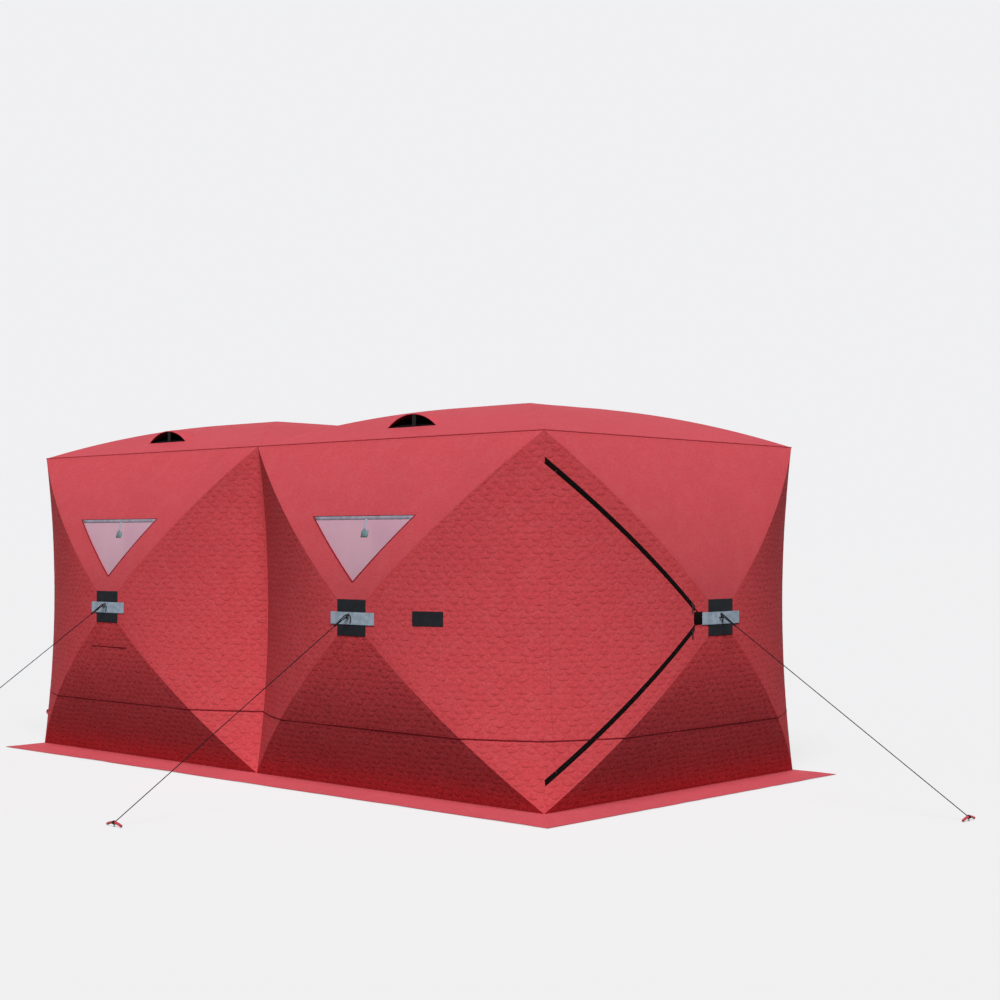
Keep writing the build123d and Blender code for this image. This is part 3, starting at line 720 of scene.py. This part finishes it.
# long seams: the level one round the shelter, a short one under two of the hubs, and the eaves
seams = {"level": 0.31, "shortAt": 0.59, "shortHalf": 0.15, "clear": 0.011, "step": 0.03, "profile": [
    (-0.0032, -0.0004), (0.0032, -0.0004), (0.0030, 0.0014), (0.0012, 0.0022), (-0.0022, 0.0018)],
    "eaveProfile": [(-0.0035, -0.0018), (0.0035, -0.0018), (0.0028, 0.0010), (0.0008, 0.0024),
                    (-0.0008, 0.0024), (-0.0028, 0.0010)]}
crease = half * (1 - (seams["level"] - hem) / (hub - hem))
quarter = 1 / 2 ** 0.5


def seamStart(bay, side, up):  # where a wall's cloth meets the next wall's
    seam, along = wallBays[bay][3 if side > 0 else 2], half
    if seam == "corner":
        for _ in range(30):
            along = half + sideOut(along, up, seam)
    return along * side


def levelLine(start, end, up):
    stops = sorted({start, end, *(s * crease for s in (-1, 1) if start < s * crease < end)})
    line = []
    for a, b in zip(stops, stops[1:]):
        line += between((a, up), (b, up), max(2, int((b - a) / seams["step"])))[:-1]
    return line + [(end, up)]


for bay in wallBays:
    left, right = seamStart(bay, -1, seams["level"]), seamStart(bay, 1, seams["level"])
    runs = [("", "shelter", left, right)]
    if bay == "right_end":
        zipAt = -half + (seams["level"] - hem - door["drop"]) / ((hub - hem) / half)
        runs = [("_hinge", "shelter", left, hinge - door["fit"]),
                ("_flap", "door", hinge + door["fit"], zipAt - seams["clear"]),
                ("", "shelter", zipAt + seams["clear"], right)]
    for label, body, start, end in runs:
        piece = wallRibbon(bay + "_levelSeam" + label, bay, levelLine(start, end, seams["level"]),
                           seams["profile"], seamTape)
        settle(piece, body, "shell_cloth")
    if bay in ("front_left", "back_right"):
        piece = wallRibbon(bay + "_shortSeam", bay, between((-seams["shortHalf"], seams["shortAt"]),
                                                            (seams["shortHalf"], seams["shortAt"]), 10),
                           seams["profile"], seamTape)
        settle(piece, "shelter", "shell_cloth")
    way = wallBays[bay][1]
    outWay = Vector((way[1], -way[0], 0))
    stations = [(onWall(bay, along, eave, -0.0006), (Vector((0, 0, 1)) - outWay) * quarter,
                 (Vector((0, 0, 1)) + outWay) * quarter) for along in (-half, -half / 2, 0, half / 2, half)]
    settle(ribbon(bay + "_eaveSeam", stations, seams["eaveProfile"], eaveTape), "shelter", "shell_cloth")
print("seams made")

# zips: a tape each side of the teeth, and the teeth
zipTeeth, tree, shader = surface("zipTeeth")
scuffs = clouds(tree, put(tree, "TexCoord").outputs["Object"], 60.0, 4.0)
wire(tree, shader, {"Base Color": mottled(tree, scuffs, 0.5, 0.75, (13, 12, 12), (38, 34, 30)),
                    "Roughness": ramp(tree, scuffs, 0.35, 0.6), "Specular IOR Level": 0.08})
roughen(tree, shader, scuffs, 0.2, 0.0005)

zips = {"end": -0.178, "tooth": (0.0016, 0.0052, 0.0012), "pitch": 0.0032, "tape": 0.0012, "wide": 0.0095,
        "lift": 0.0006, "apart": 0.0002, "fit": 0.0008, "root": (0.35, 0.0016), "stop": (-0.182, -0.128),
        "stopTape": (0.052, 0.0016), "stopLift": 0.0022}


def zipPoint(line, along, inset):
    up = line(along, inset)
    return onWall("right_end", along, up, doorShape(along, up))


def zipHeight(along, up):
    return doorShape(along, up) + zips["lift"] + zips["tape"]


def zipBand(name, line, start, end, near, far, body, node):
    ends = sorted((near, far), key=lambda inset: line(0, inset))
    outline = [(start, line(start, ends[0])), (end, line(end, ends[0])), (end, line(end, ends[1])),
               (start, line(start, ends[1]))]
    piece = clothPanel(name, outline, wallLift("right_end", zipHeight), zipTape, thick=zips["tape"], ripple=0)
    settle(piece, body, "zip", node)


def zipRow(name, line, start, end, side, body):
    lengthPerAlong = hypot(1, line(0, 0) - line(1, 0))
    length, wide, tall = zips["tooth"]
    points, faces = [], []
    for i in range(int((end - start) * lengthPerAlong / zips["pitch"])):
        along = start + (i + (0.25 if side > 0 else 0.75)) * zips["pitch"] / lengthPerAlong
        middle, ahead = zipPoint(line, along, 0), zipPoint(line, along + 0.002, 0)
        ahead = (ahead - middle).normalized()
        out = facing("right_end", along, line(along, 0))
        inSide = (zipPoint(line, along, 0.004 * side) - middle).normalized()
        root, tooth = middle + out * zips["root"][1] + inSide * wide * zips["root"][0], len(points)
        for a, s, o in ((-1, -1, 0), (1, -1, 0), (1.0, 1, 0), (-1.0, 1, 0),
                        (-0.6, -0.85, 1), (0.6, -0.85, 1), (0.8, 0.9, 1), (-0.8, 0.9, 1)):
            points.append(root + ahead * a * length / 2 + inSide * s * wide / 2 + out * o * tall)
        faces += [tuple(tooth + k for k in f) for f in (
            (0, 3, 2, 1), (4, 5, 6, 7), (0, 1, 5, 4), (1, 2, 6, 5), (2, 3, 7, 6), (3, 0, 4, 7))]
    mesh = bpy.data.meshes.new(name)
    mesh.from_pydata(points, [], faces)
    pointOut(mesh)
    settle(addPiece(name, mesh, zipTeeth), body, "zip")


for label, line in (("upper", upperZip), ("lower", lowerZip)):
    first = seamStart("right_end", -1, line(-half + 0.004, 0)) + 0.003
    wide, apart, before = zips["wide"], zips["apart"], hinge - zips["fit"]
    zipBand(label + "ZipHinge", line, first, before, -wide, wide, "shelter", "frame_zips")
    zipBand(label + "ZipFrame", line, before, zips["end"], -wide, -apart, "shelter", "frame_zips")
    zipBand(label + "ZipFlap", line, hinge + zips["fit"], zips["end"], apart, wide, "door", "flap_zips")
    zipRow(label + "TeethHinge", line, first + 0.002, hinge - 0.002, 1, "shelter")
    zipRow(label + "TeethFrame", line, first + 0.002, zips["end"], -1, "shelter")
    zipRow(label + "TeethFlap", line, hinge + 0.002, zips["end"], 1, "door")
stopLine = between((zips["stop"][0], hub), (zips["stop"][1], hub), 5)
zipEnd = wallRibbon("zipEnd", "right_end", stopLine, flatBar(*zips["stopTape"]), zipTape, zips["stopLift"])
settle(zipEnd, "shelter", "zip")
print("zips made")

# patches over the hubs, the webbing across them and the plain patch beside one of them
patches = {  # middle, size, height above the panel, material, thickness and bulge over the hub
    "hub": ((0, hub), (0.177, 0.155), 0.0010, blackPatch, 0.0014, 0.0016),
    "strap": ((0.004, 0.7865), (0.272, 0.053), 0.0030, greyWebbing, 0.0016, 0.0018),
    "plain": ((0.408, 0.795), (0.142, 0.061), 0.0008, blackPatch, 0.0014, 0.0)}
patchCloth = {"step": (0.0075, 0.0075), "ripple": 0.0006, "swell": 0.04}


def flatPatch(name, bay, kind, slot, node):
    (a, u), (width, height), lift, material, thick, bulge = patches[kind]
    w, t = width / 2, height / 2
    outline = [(a - w, u - t), (a + w, u - t), (a + w, u + t), (a - w, u + t)]

    def raised(along, up):
        swell = bulge * exp(-((along ** 2 + (up - hub) ** 2) / patchCloth["swell"] ** 2))
        return wallOut(bay, along, up) + lift + thick + swell
    piece = clothPanel(name, outline, wallLift(bay, raised), material, patchCloth["step"], thick=thick,
                       ripple=patchCloth["ripple"])
    settle(piece, "shelter", slot, node)
    declareSheet(piece, outline)


for bay in wallBays:
    flatPatch(bay + "_hubPatch", bay, "hub", "black_patch", "hub_patches")
    flatPatch(bay + "_hubStrap", bay, "strap", "grey_webbing", "hub_straps")
flatPatch("plainPatch", "front_right", "plain", "black_patch", "plain_patch")

# a loop of tape low on the left end
endLoop = {"at": (0.872, 0.19), "lean": 0.0005, "half": 0.013, "deep": 0.020, "sunk": 0.002,
           "tape": (0.014, 0.0018)}
stations = []
for k in range(13):
    turn, (along, up) = pi * k / 12, endLoop["at"]
    spot = onWall("left_end", along + endLoop["lean"] * k, up + endLoop["half"] * cos(turn),
                  endLoop["deep"] * sin(turn) + wallOut("left_end", along, up) - endLoop["sunk"])
    stations.append((spot, Vector((0, 1, 0)), Vector((-sin(turn), 0, cos(turn)))))
settle(ribbon("endLoop", stations, flatBar(*endLoop["tape"]), loopTape), "shelter", "shell_cloth")
print("patches made")

# vent hoods, half domes of cloth that open towards the long walls, with a piped edge
hood = {"radius": 0.2320, "centre": (0.689, 1.4592), "deep": 0.143, "chord": 0.162, "shift": -0.012,
        "flare": 1.03, "cloth": 0.0022, "piping": 0.0026, "net": 0.0006, "netInset": (0.003, 0.002),
        "netLift": 0.0018, "clear": 0.0003, "netClear": 0.0004, "step": (0.01, 0.01), "ripple": 0.0005,
        "edge": (0.995, -0.001)}


def halfDisc(chord, deep, sill=0.0):
    return [(chord * cos(radians(turn)) + hood["shift"],
             half - vent["mouth"] + deep * sin(radians(turn)) + sill) for turn in range(0, 181, 6)]


hoodOutline = halfDisc(hood["chord"], hood["deep"])
inset, sill = hood["netInset"]
netOutline = halfDisc(hood["chord"] - inset, hood["deep"] - sill, sill)
circle = [(hood["piping"] * cos(k * pi / 5), hood["piping"] * sin(k * pi / 5)) for k in range(10)]
ventNet = clothMaterial("ventNet", 15, 14, 15, 0.85, tone=0.2, sheen=0.0)
hoodLining = clothMaterial("hoodLining", 120, 22, 30, 0.8, tone=0.5, sheen=0.0)


def hoodHeight(along, away):
    dome = (hood["radius"] ** 2 - ((along - hood["shift"]) / hood["flare"]) ** 2
            - (away - hood["centre"][0]) ** 2)
    return max(hood["centre"][1] + max(dome, 0) ** 0.5, roofHeight((half - away) / half) + hood["clear"])


for bay, middleX in (("left", -half), ("right", half)):
    for slope in ("front", "back"):
        onRoof = roofLift(middleX, roofWays[slope])

        def hoodLift(along, up, out, onRoof=onRoof):
            spot = onRoof(along, up, 0)
            spot.z = hoodHeight(along, half - up) + out
            return spot

        def netLift(along, up, out, onRoof=onRoof):
            spot = onRoof(along, up, hood["netLift"])
            spot.z = min(spot.z, hoodHeight(along, half - up) - hood["cloth"] - hood["netClear"])
            return spot

        name = f"vent_{bay}_{slope}"
        piece = clothPanel(name + "Hood", hoodOutline, hoodLift, roofCloth, hood["step"],
                           thick=hood["cloth"], ripple=hood["ripple"], inner=hoodLining)
        settle(piece, "shelter", "vent_cloth", "vent_hoods")
        declareSheet(piece, hoodOutline)
        net = clothPanel(name + "Net", netOutline, netLift, ventNet, hood["step"], thick=hood["net"], ripple=0)
        settle(net, "shelter", "vent_cloth")
        declareSheet(net, netOutline)
        edgeLine = [(hood["chord"] * (i / 20 - 1) * hood["edge"][0] + hood["shift"], half - vent["mouth"])
                    for i in range(41)]
        stations = [(hoodLift(along, up, hood["edge"][1]), Vector((*roofWays[slope], 0)), Vector((0, 0, 1)))
                    for along, up in edgeLine]
        settle(ribbon(name + "Piping", stations, circle, roofCloth, smooth=True), "shelter", "vent_cloth")
print("vents made")


# hard finishes
def hardFinish(name, first, second, roughness, metal=0.0, coat=0.0, shine=0.5):
    material, tree, shader = surface(name)
    where = put(tree, "TexCoord").outputs["Object"]
    cloudy = clouds(tree, where, 35.0, 5.0, 0.6)
    wire(tree, shader, {"Base Color": mottled(tree, cloudy, 0.38, 0.72, first, second),
                        "Roughness": ramp(tree, cloudy, *roughness), "Metallic": metal, "Coat Weight": coat,
                        "Specular IOR Level": shine})
    roughen(tree, shader, clouds(tree, where, 770.0, 2.0), 0.15, 0.0004)
    return material


# guy ropes, three strands laid together, from a cord ring at each hub to a wrap round an anchor
rope = {"radius": 0.0023, "pitch": 0.022, "step": 0.0045, "top": (0.797, 0.243), "foot": (0.0168, 1.26),
        "drift": 0.23, "whipping": 0.0014, "strand": 0.0030, "hubLoop": 0.066, "lobe": 0.14,
        "ring": (-0.012, 0.797), "ringRadius": 0.0105, "ringCord": 0.0021, "ringOut": 0.0085,
        "loopRadius": 0.0085, "belly": 0.18, "wrap": (4.2, 0.0125), "knot": (0.0034, 3.2, 0.010),
        "tail": ((-0.005, 0.799, 0.012), (0.001, 0.801, 0.013), (0.006, 0.796, 0.012), (0.007, 0.787, 0.010),
                 (0.004, 0.776, 0.009), (-0.002, 0.764, 0.009))}
anchor = {"span": 0.098, "rise": 0.0105, "bar": 0.0056, "crown": 0.0168, "stake": 0.0040, "ease": 0.0032,
          "stakeEase": 0.0008}

ropeCord, tree, shader = surface("ropeCord")
stretched = put(tree, "Mapping", {"Vector": uvMap(tree), "Scale": (0.35, 1.0, 1.0), "Rotation": (0, 0, 0.6)})
hairs = clouds(tree, stretched.outputs[0], 1400.0, 3.0)
wire(tree, shader, {"Base Color": mottled(tree, hairs, 0.35, 0.7, (17, 16, 19), (38, 35, 38)),
                    "Roughness": ramp(tree, hairs, 0.75, 0.95), "Specular IOR Level": 0.1})
roughen(tree, shader, hairs, 0.5, 0.0004)


def laidCord(name, line, radius=rope["radius"], closed=False):
    count, stations, profile, travelled = len(line), [], [], 0.0
    out = (line[1] - line[0]).orthogonal().normalized()
    for i, spot in enumerate(line):
        last = line[i - 1 if closed or i else 0]
        following = line[(i + 1) % count if closed else min(i + 1, count - 1)]
        ahead = (following - last).normalized()
        out = (out - ahead * out.dot(ahead)).normalized()
        side, turn = out.cross(ahead), 2 * pi * travelled / rope["pitch"]
        stations.append((spot, side * cos(turn) + out * sin(turn), out * cos(turn) - side * sin(turn)))
        travelled += (following - spot).length
    for k in range(12):
        reach = radius * (1 + rope["lobe"] * (cos(3 * k * pi / 6) - 0.5))
        profile.append((reach * cos(k * pi / 6), reach * sin(k * pi / 6)))
    return ribbon(name, stations, profile, ropeCord, closed=closed, smooth=True)


def evenly(points, step=rope["step"]):  # the same path, with its points a set length apart
    line, rest = [points[0].copy()], 0.0
    for a, b in zip(points, points[1:]):
        length = (b - a).length
        at = step - rest
        while at < length:
            line.append(a.lerp(b, at / length))
            at += step
        rest = length - (at - step)
    return line


def loopPath(knot, around, way, side, radius):  # from the knot, through a ring, and back
    turns = [around + (way * cos(radians(t)) + side * sin(radians(t))) * radius for t in range(100, -101, -20)]
    out = [knot.lerp(turns[0], share) + side * radius * rope["belly"] * sin(pi * share)
           for share in (0, 0.25, 0.5, 0.75)]
    back = [turns[-1].lerp(knot, share) - side * radius * rope["belly"] * sin(pi * share)
            for share in (0.25, 0.5, 0.75, 1)]
    return out + turns + back


def knotPath(middle, way, side, radius, turns, length):
    other = way.cross(side)
    return [middle + way * length * (share / 40 - 0.5) + (side * cos(turns * 2 * pi * share / 40)
            + other * sin(turns * 2 * pi * share / 40)) * radius for share in range(41)]


def anchorSpot(bay, height):
    drift = rope["drift"] if bay.startswith(("back", "right")) else -rope["drift"]
    return onWall(bay, drift, height, rope["foot"][1])


for bay in wallBays:
    top, foot = onWall(bay, rope["ring"][0], *rope["top"]), anchorSpot(bay, rope["foot"][0])
    way = (foot - top).normalized()
    across = (onWall(bay, 1, 0, 0) - onWall(bay, 0, 0, 0)).normalized()
    upKnot, wrap = top + way * rope["hubLoop"], anchor["bar"] + rope["whipping"] + 0.0002
    body = laidCord(bay + "_guyRope", evenly([upKnot - way * 0.004, foot - way * wrap])
                    + [foot - way * anchor["bar"] * 0.7])
    settle(body, "shelter", "rope", "guy_ropes")
    flat = (across - way * across.dot(way)).normalized()
    tail = [onWall(bay, a, u, wallOut(bay, a, u) + o) for a, u, o in rope["tail"]]
    ringOut = facing(bay, *rope["ring"])
    ringAcross = (across - ringOut * across.dot(ringOut)).normalized()
    ringWay = -ringAcross * 0.5 + ringAcross.cross(ringOut) * 0.866
    ringMiddle = onWall(bay, *rope["ring"], wallOut(bay, *rope["ring"]) + rope["ringOut"])
    ring = [ringMiddle + (ringOut * cos(2 * pi * k / 28) + ringWay * sin(2 * pi * k / 28)) * rope["ringRadius"]
            for k in range(28)]
    for name, path, radius in (
            ("_hubLoop", evenly(loopPath(upKnot, top, -way, flat, rope["loopRadius"]), 0.004), rope["strand"]),
            ("_anchorWrap", knotPath(foot, across, across.cross(way).normalized(), wrap, *rope["wrap"]),
             rope["whipping"]),
            ("_hubKnot", knotPath(upKnot, way, flat, *rope["knot"]), rope["whipping"]),
            ("_ropeTail", evenly(tail, 0.003), rope["radius"] * 0.95),
            ("_hubRing", ring, rope["ringCord"])):
        settle(laidCord(bay + name, path, radius, closed=path is ring), "shelter", "rope")
print("ropes made")

# anchors, a bowed plastic handle with rounded ends on a short stake
anchorFinish = hardFinish("redPlastic", (178, 38, 50), (150, 22, 34), (0.32, 0.5), coat=0.1)
stakeFinish = hardFinish("stakeSteel", (150, 152, 156), (186, 188, 190), (0.3, 0.5), metal=1.0)
bow = (anchor["span"] ** 2 / 4 + anchor["rise"] ** 2) / (2 * anchor["rise"])
spread = 2 * asin(anchor["span"] / 2 / bow)
bpy.ops.mesh.primitive_circle_add(vertices=16, radius=anchor["bar"], fill_type="NGON", rotation=(
    0, pi / 2 - spread / 2, 0), location=(-anchor["span"] / 2, 0, anchor["crown"] - anchor["rise"]))
handle = bpy.context.object
handle.name = "anchorHandle"
bpy.ops.object.mode_set(mode="EDIT")
bpy.ops.mesh.select_all(action="SELECT")
bpy.ops.mesh.spin(steps=18, angle=spread, center=(0, 0, anchor["crown"] - bow), axis=(0, -1, 0))
bpy.ops.mesh.select_all(action="DESELECT")
bpy.ops.mesh.select_non_manifold()
bpy.ops.mesh.edge_face_add()
bpy.ops.mesh.select_all(action="SELECT")
bpy.ops.mesh.remove_doubles(threshold=1e-6)
bpy.ops.mesh.normals_make_consistent(inside=False)
bpy.ops.object.mode_set(mode="OBJECT")
eased = handle.modifiers.new("roundedEnds", "BEVEL")
eased.width, eased.segments, eased.limit_method, eased.angle_limit = anchor["ease"], 4, "ANGLE", radians(50)
bpy.ops.object.modifier_apply(modifier=eased.name)
bpy.ops.object.shade_smooth()
bpy.ops.object.transform_apply()
handle.select_set(False)
bpy.ops.mesh.primitive_cylinder_add(vertices=14, radius=anchor["stake"], depth=anchor["crown"],
                                    location=(0, 0, anchor["crown"] / 2))
stake = bpy.context.object
bpy.ops.object.mode_set(mode="EDIT")
bpy.ops.mesh.select_all(action="SELECT")
bpy.ops.mesh.bevel(offset=anchor["stakeEase"], segments=2)
bpy.ops.object.mode_set(mode="OBJECT")
bpy.ops.object.shade_smooth_by_angle(angle=radians(35))
bpy.ops.object.transform_apply()
for piece, coating in ((handle, anchorFinish), (stake, stakeFinish)):
    piece.data.materials.clear()
    piece.data.materials.append(coating)
handle.select_set(True)
bpy.context.view_layer.objects.active = handle
bpy.ops.object.join()
handle.select_set(False)
for bay in wallBays:
    way = wallBays[bay][1]
    mesh = handle.data.copy()
    mesh.transform(Matrix.Translation(anchorSpot(bay, 0)) @ Matrix.Rotation(atan2(way[1], way[0]), 4, "Z"))
    settle(addPiece(bay + "_iceAnchor", mesh), "shelter", "anchor_plastic", "ice_anchors")
bpy.data.objects.remove(handle)
print("anchors made")

# zip sliders, each with a pull on a ring that hangs straight down
slider = {"long": 0.0155, "wide": 0.0105, "tall": 0.0052, "nose": 0.66, "lift": 0.0040, "along": -0.194,
          "ring": 0.0036, "wire": 0.0007, "pull": (0.024, 0.0068, 0.0013), "ease": 0.0011,
          "bail": (0.0026, 0.0008), "hang": 24, "pullEase": 0.0005}
sliderFinish = hardFinish("blackedZinc", (22, 22, 24), (52, 50, 48), (0.34, 0.5), metal=0.6)
bpy.ops.mesh.primitive_cube_add(size=1)
saddle = bpy.context.object
saddle.name = "sliderBody"
bpy.ops.transform.resize(value=(slider["long"], slider["wide"], slider["tall"]))
bpy.ops.object.transform_apply()
for vertex in saddle.data.vertices:
    vertex.select = vertex.co.x < 0
bpy.ops.object.mode_set(mode="EDIT")
bpy.ops.transform.resize(value=(1, slider["nose"], 0.8))
bpy.ops.mesh.select_all(action="SELECT")
bpy.ops.mesh.bevel(offset=slider["ease"], segments=3)
bpy.ops.mesh.primitive_torus_add(major_radius=slider["bail"][0], minor_radius=slider["bail"][1],
                                 major_segments=20, minor_segments=8, rotation=(pi / 2, 0, 0),
                                 location=(0, 0, slider["tall"] / 2))
bpy.ops.object.mode_set(mode="OBJECT")
bpy.ops.object.shade_smooth_by_angle(angle=radians(40))
saddle.select_set(False)
bpy.ops.mesh.primitive_torus_add(major_radius=slider["ring"], minor_radius=slider["wire"], major_segments=24,
                                 minor_segments=8, rotation=(0, radians(slider["hang"]), 0),
                                 location=(slider["ring"] * 0.8, 0, 0.0010))
tab = bpy.context.object
tab.name = "sliderPull"
bpy.ops.object.transform_apply()
bpy.ops.object.mode_set(mode="EDIT")
bpy.ops.mesh.select_all(action="DESELECT")
bpy.ops.mesh.primitive_cube_add(size=1, location=(slider["ring"] * 1.6 + slider["pull"][0] / 2, 0, -0.0006))
bpy.ops.transform.resize(value=slider["pull"])
bpy.ops.mesh.bevel(offset=slider["pullEase"], segments=2)
bpy.ops.object.mode_set(mode="OBJECT")
bpy.ops.object.shade_smooth_by_angle(angle=radians(40))
tab.select_set(False)
for master in (saddle, tab):
    master.data.materials.append(sliderFinish)
for label, line in (("upper", upperZip), ("lower", lowerZip)):
    spot, ahead = (zipPoint(line, along, 0) for along in (slider["along"], slider["along"] + 0.002))
    out = facing("right_end", slider["along"], line(slider["along"], 0))
    for master, lift, way in ((saddle, slider["lift"], ahead - spot),
                              (tab, slider["lift"] * 1.75, Vector((0, 0, -1)))):
        way = (way - out * way.dot(out)).normalized()
        turned = Matrix((way, out.cross(way), out)).transposed().to_4x4()
        mesh = master.data.copy()
        mesh.transform(Matrix.Translation(spot + out * lift) @ turned)
        settle(addPiece(label + master.name[0].upper() + master.name[1:], mesh), "door", "zip")
for master in (saddle, tab):
    bpy.data.objects.remove(master)
print("sliders made")

# finishes of the frame's own pieces
poleFinish = hardFinish("glassFibre", (34, 34, 37), (58, 58, 62), (0.28, 0.45), coat=0.2)
fittingFinish = hardFinish("blackNylon", (24, 24, 26), (44, 43, 44), (0.42, 0.6))
strutFinish = hardFinish("strutFibre", (26, 25, 23), (40, 37, 34), (0.5, 0.7), shine=0.08)
finishes = {"wall_poles": poleFinish, "roof_poles": poleFinish, "wall_hubs": fittingFinish,
            "roof_hubs": fittingFinish, "upper_joints": fittingFinish, "lower_joints": fittingFinish,
            "vent_struts": strutFinish}
for node, coating in finishes.items():
    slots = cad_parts[node].data.materials
    if not slots:
        slots.append(coating)
    for i in range(len(slots)):
        slots[i] = coating
print("frame finishes set")

# a plain pale floor and soft studio light
studio = {"floor": 300.0, "drop": 0.0012, "seenFloor": (0.26, 0.26, 0.27, 1.0),
          "bounce": (0.10, 0.10, 0.10, 1.0), "glow": 0.60, "shade": 0.10, "shadeReach": 0.12,
          "white": 0.90, "world": 0.07, "sky": (0.968, 0.968, 0.985, 1),
          "key": (0.484, -0.515, 0.76), "keyStrength": 4.2, "keySize": 34}
bpy.ops.mesh.primitive_plane_add(size=studio["floor"], location=(0, 0, -studio["drop"]))
ground = bpy.context.object
ground.name = "floor"
bpy.ops.object.transform_apply(location=True)
ground.select_set(False)


def directRays(tree):  # rays that see the floor or the backdrop itself, and not light that bounces
    rays = put(tree, "LightPath").outputs
    return calc(tree, "MAXIMUM", rays["Is Camera Ray"], calc(
        tree, "MAXIMUM", rays["Is Glossy Ray"], rays["Is Transmission Ray"]))


paleFloor, tree, shader = surface("paleFloor")
seen = directRays(tree)
parts = put(tree, "SeparateXYZ", {0: put(tree, "TexCoord").outputs["Object"]})
under = times(tree, *[
    calc(tree, "LESS_THAN", calc(tree, "ABSOLUTE", parts.outputs[i]), reach + studio["shadeReach"])
    for i, reach in ((0, 2 * half), (1, half))])
glow = ramp(tree, under, studio["glow"], studio["shade"], how="LINEAR")  # dimmer under the shelter's roof
wire(tree, shader, {"Base Color": blendColour(tree, seen, studio["bounce"], studio["seenFloor"]),
                    "Roughness": 0.9, "Specular IOR Level": 0.0, "Emission Color": (1, 1, 1, 1),
                    "Emission Strength": times(tree, seen, glow)})
ground.data.materials.append(paleFloor)

world = bpy.data.worlds.new("studio")
bpy.context.scene.world = world
world.use_nodes = True
tree = world.node_tree
wire(tree, tree.nodes["Background"], {
    "Color": studio["sky"],
    "Strength": ramp(tree, directRays(tree), studio["world"], studio["white"], how="LINEAR")})

key = bpy.data.lights.new("key", "SUN")
key.energy = studio["keyStrength"]
key.angle = radians(studio["keySize"])
holder = bpy.data.objects.new("key", key)
bpy.context.scene.collection.objects.link(holder)
holder.location = Vector(studio["key"]) * 10
holder.rotation_euler = Vector(studio["key"]).to_track_quat("Z", "Y").to_euler()
print("studio made")
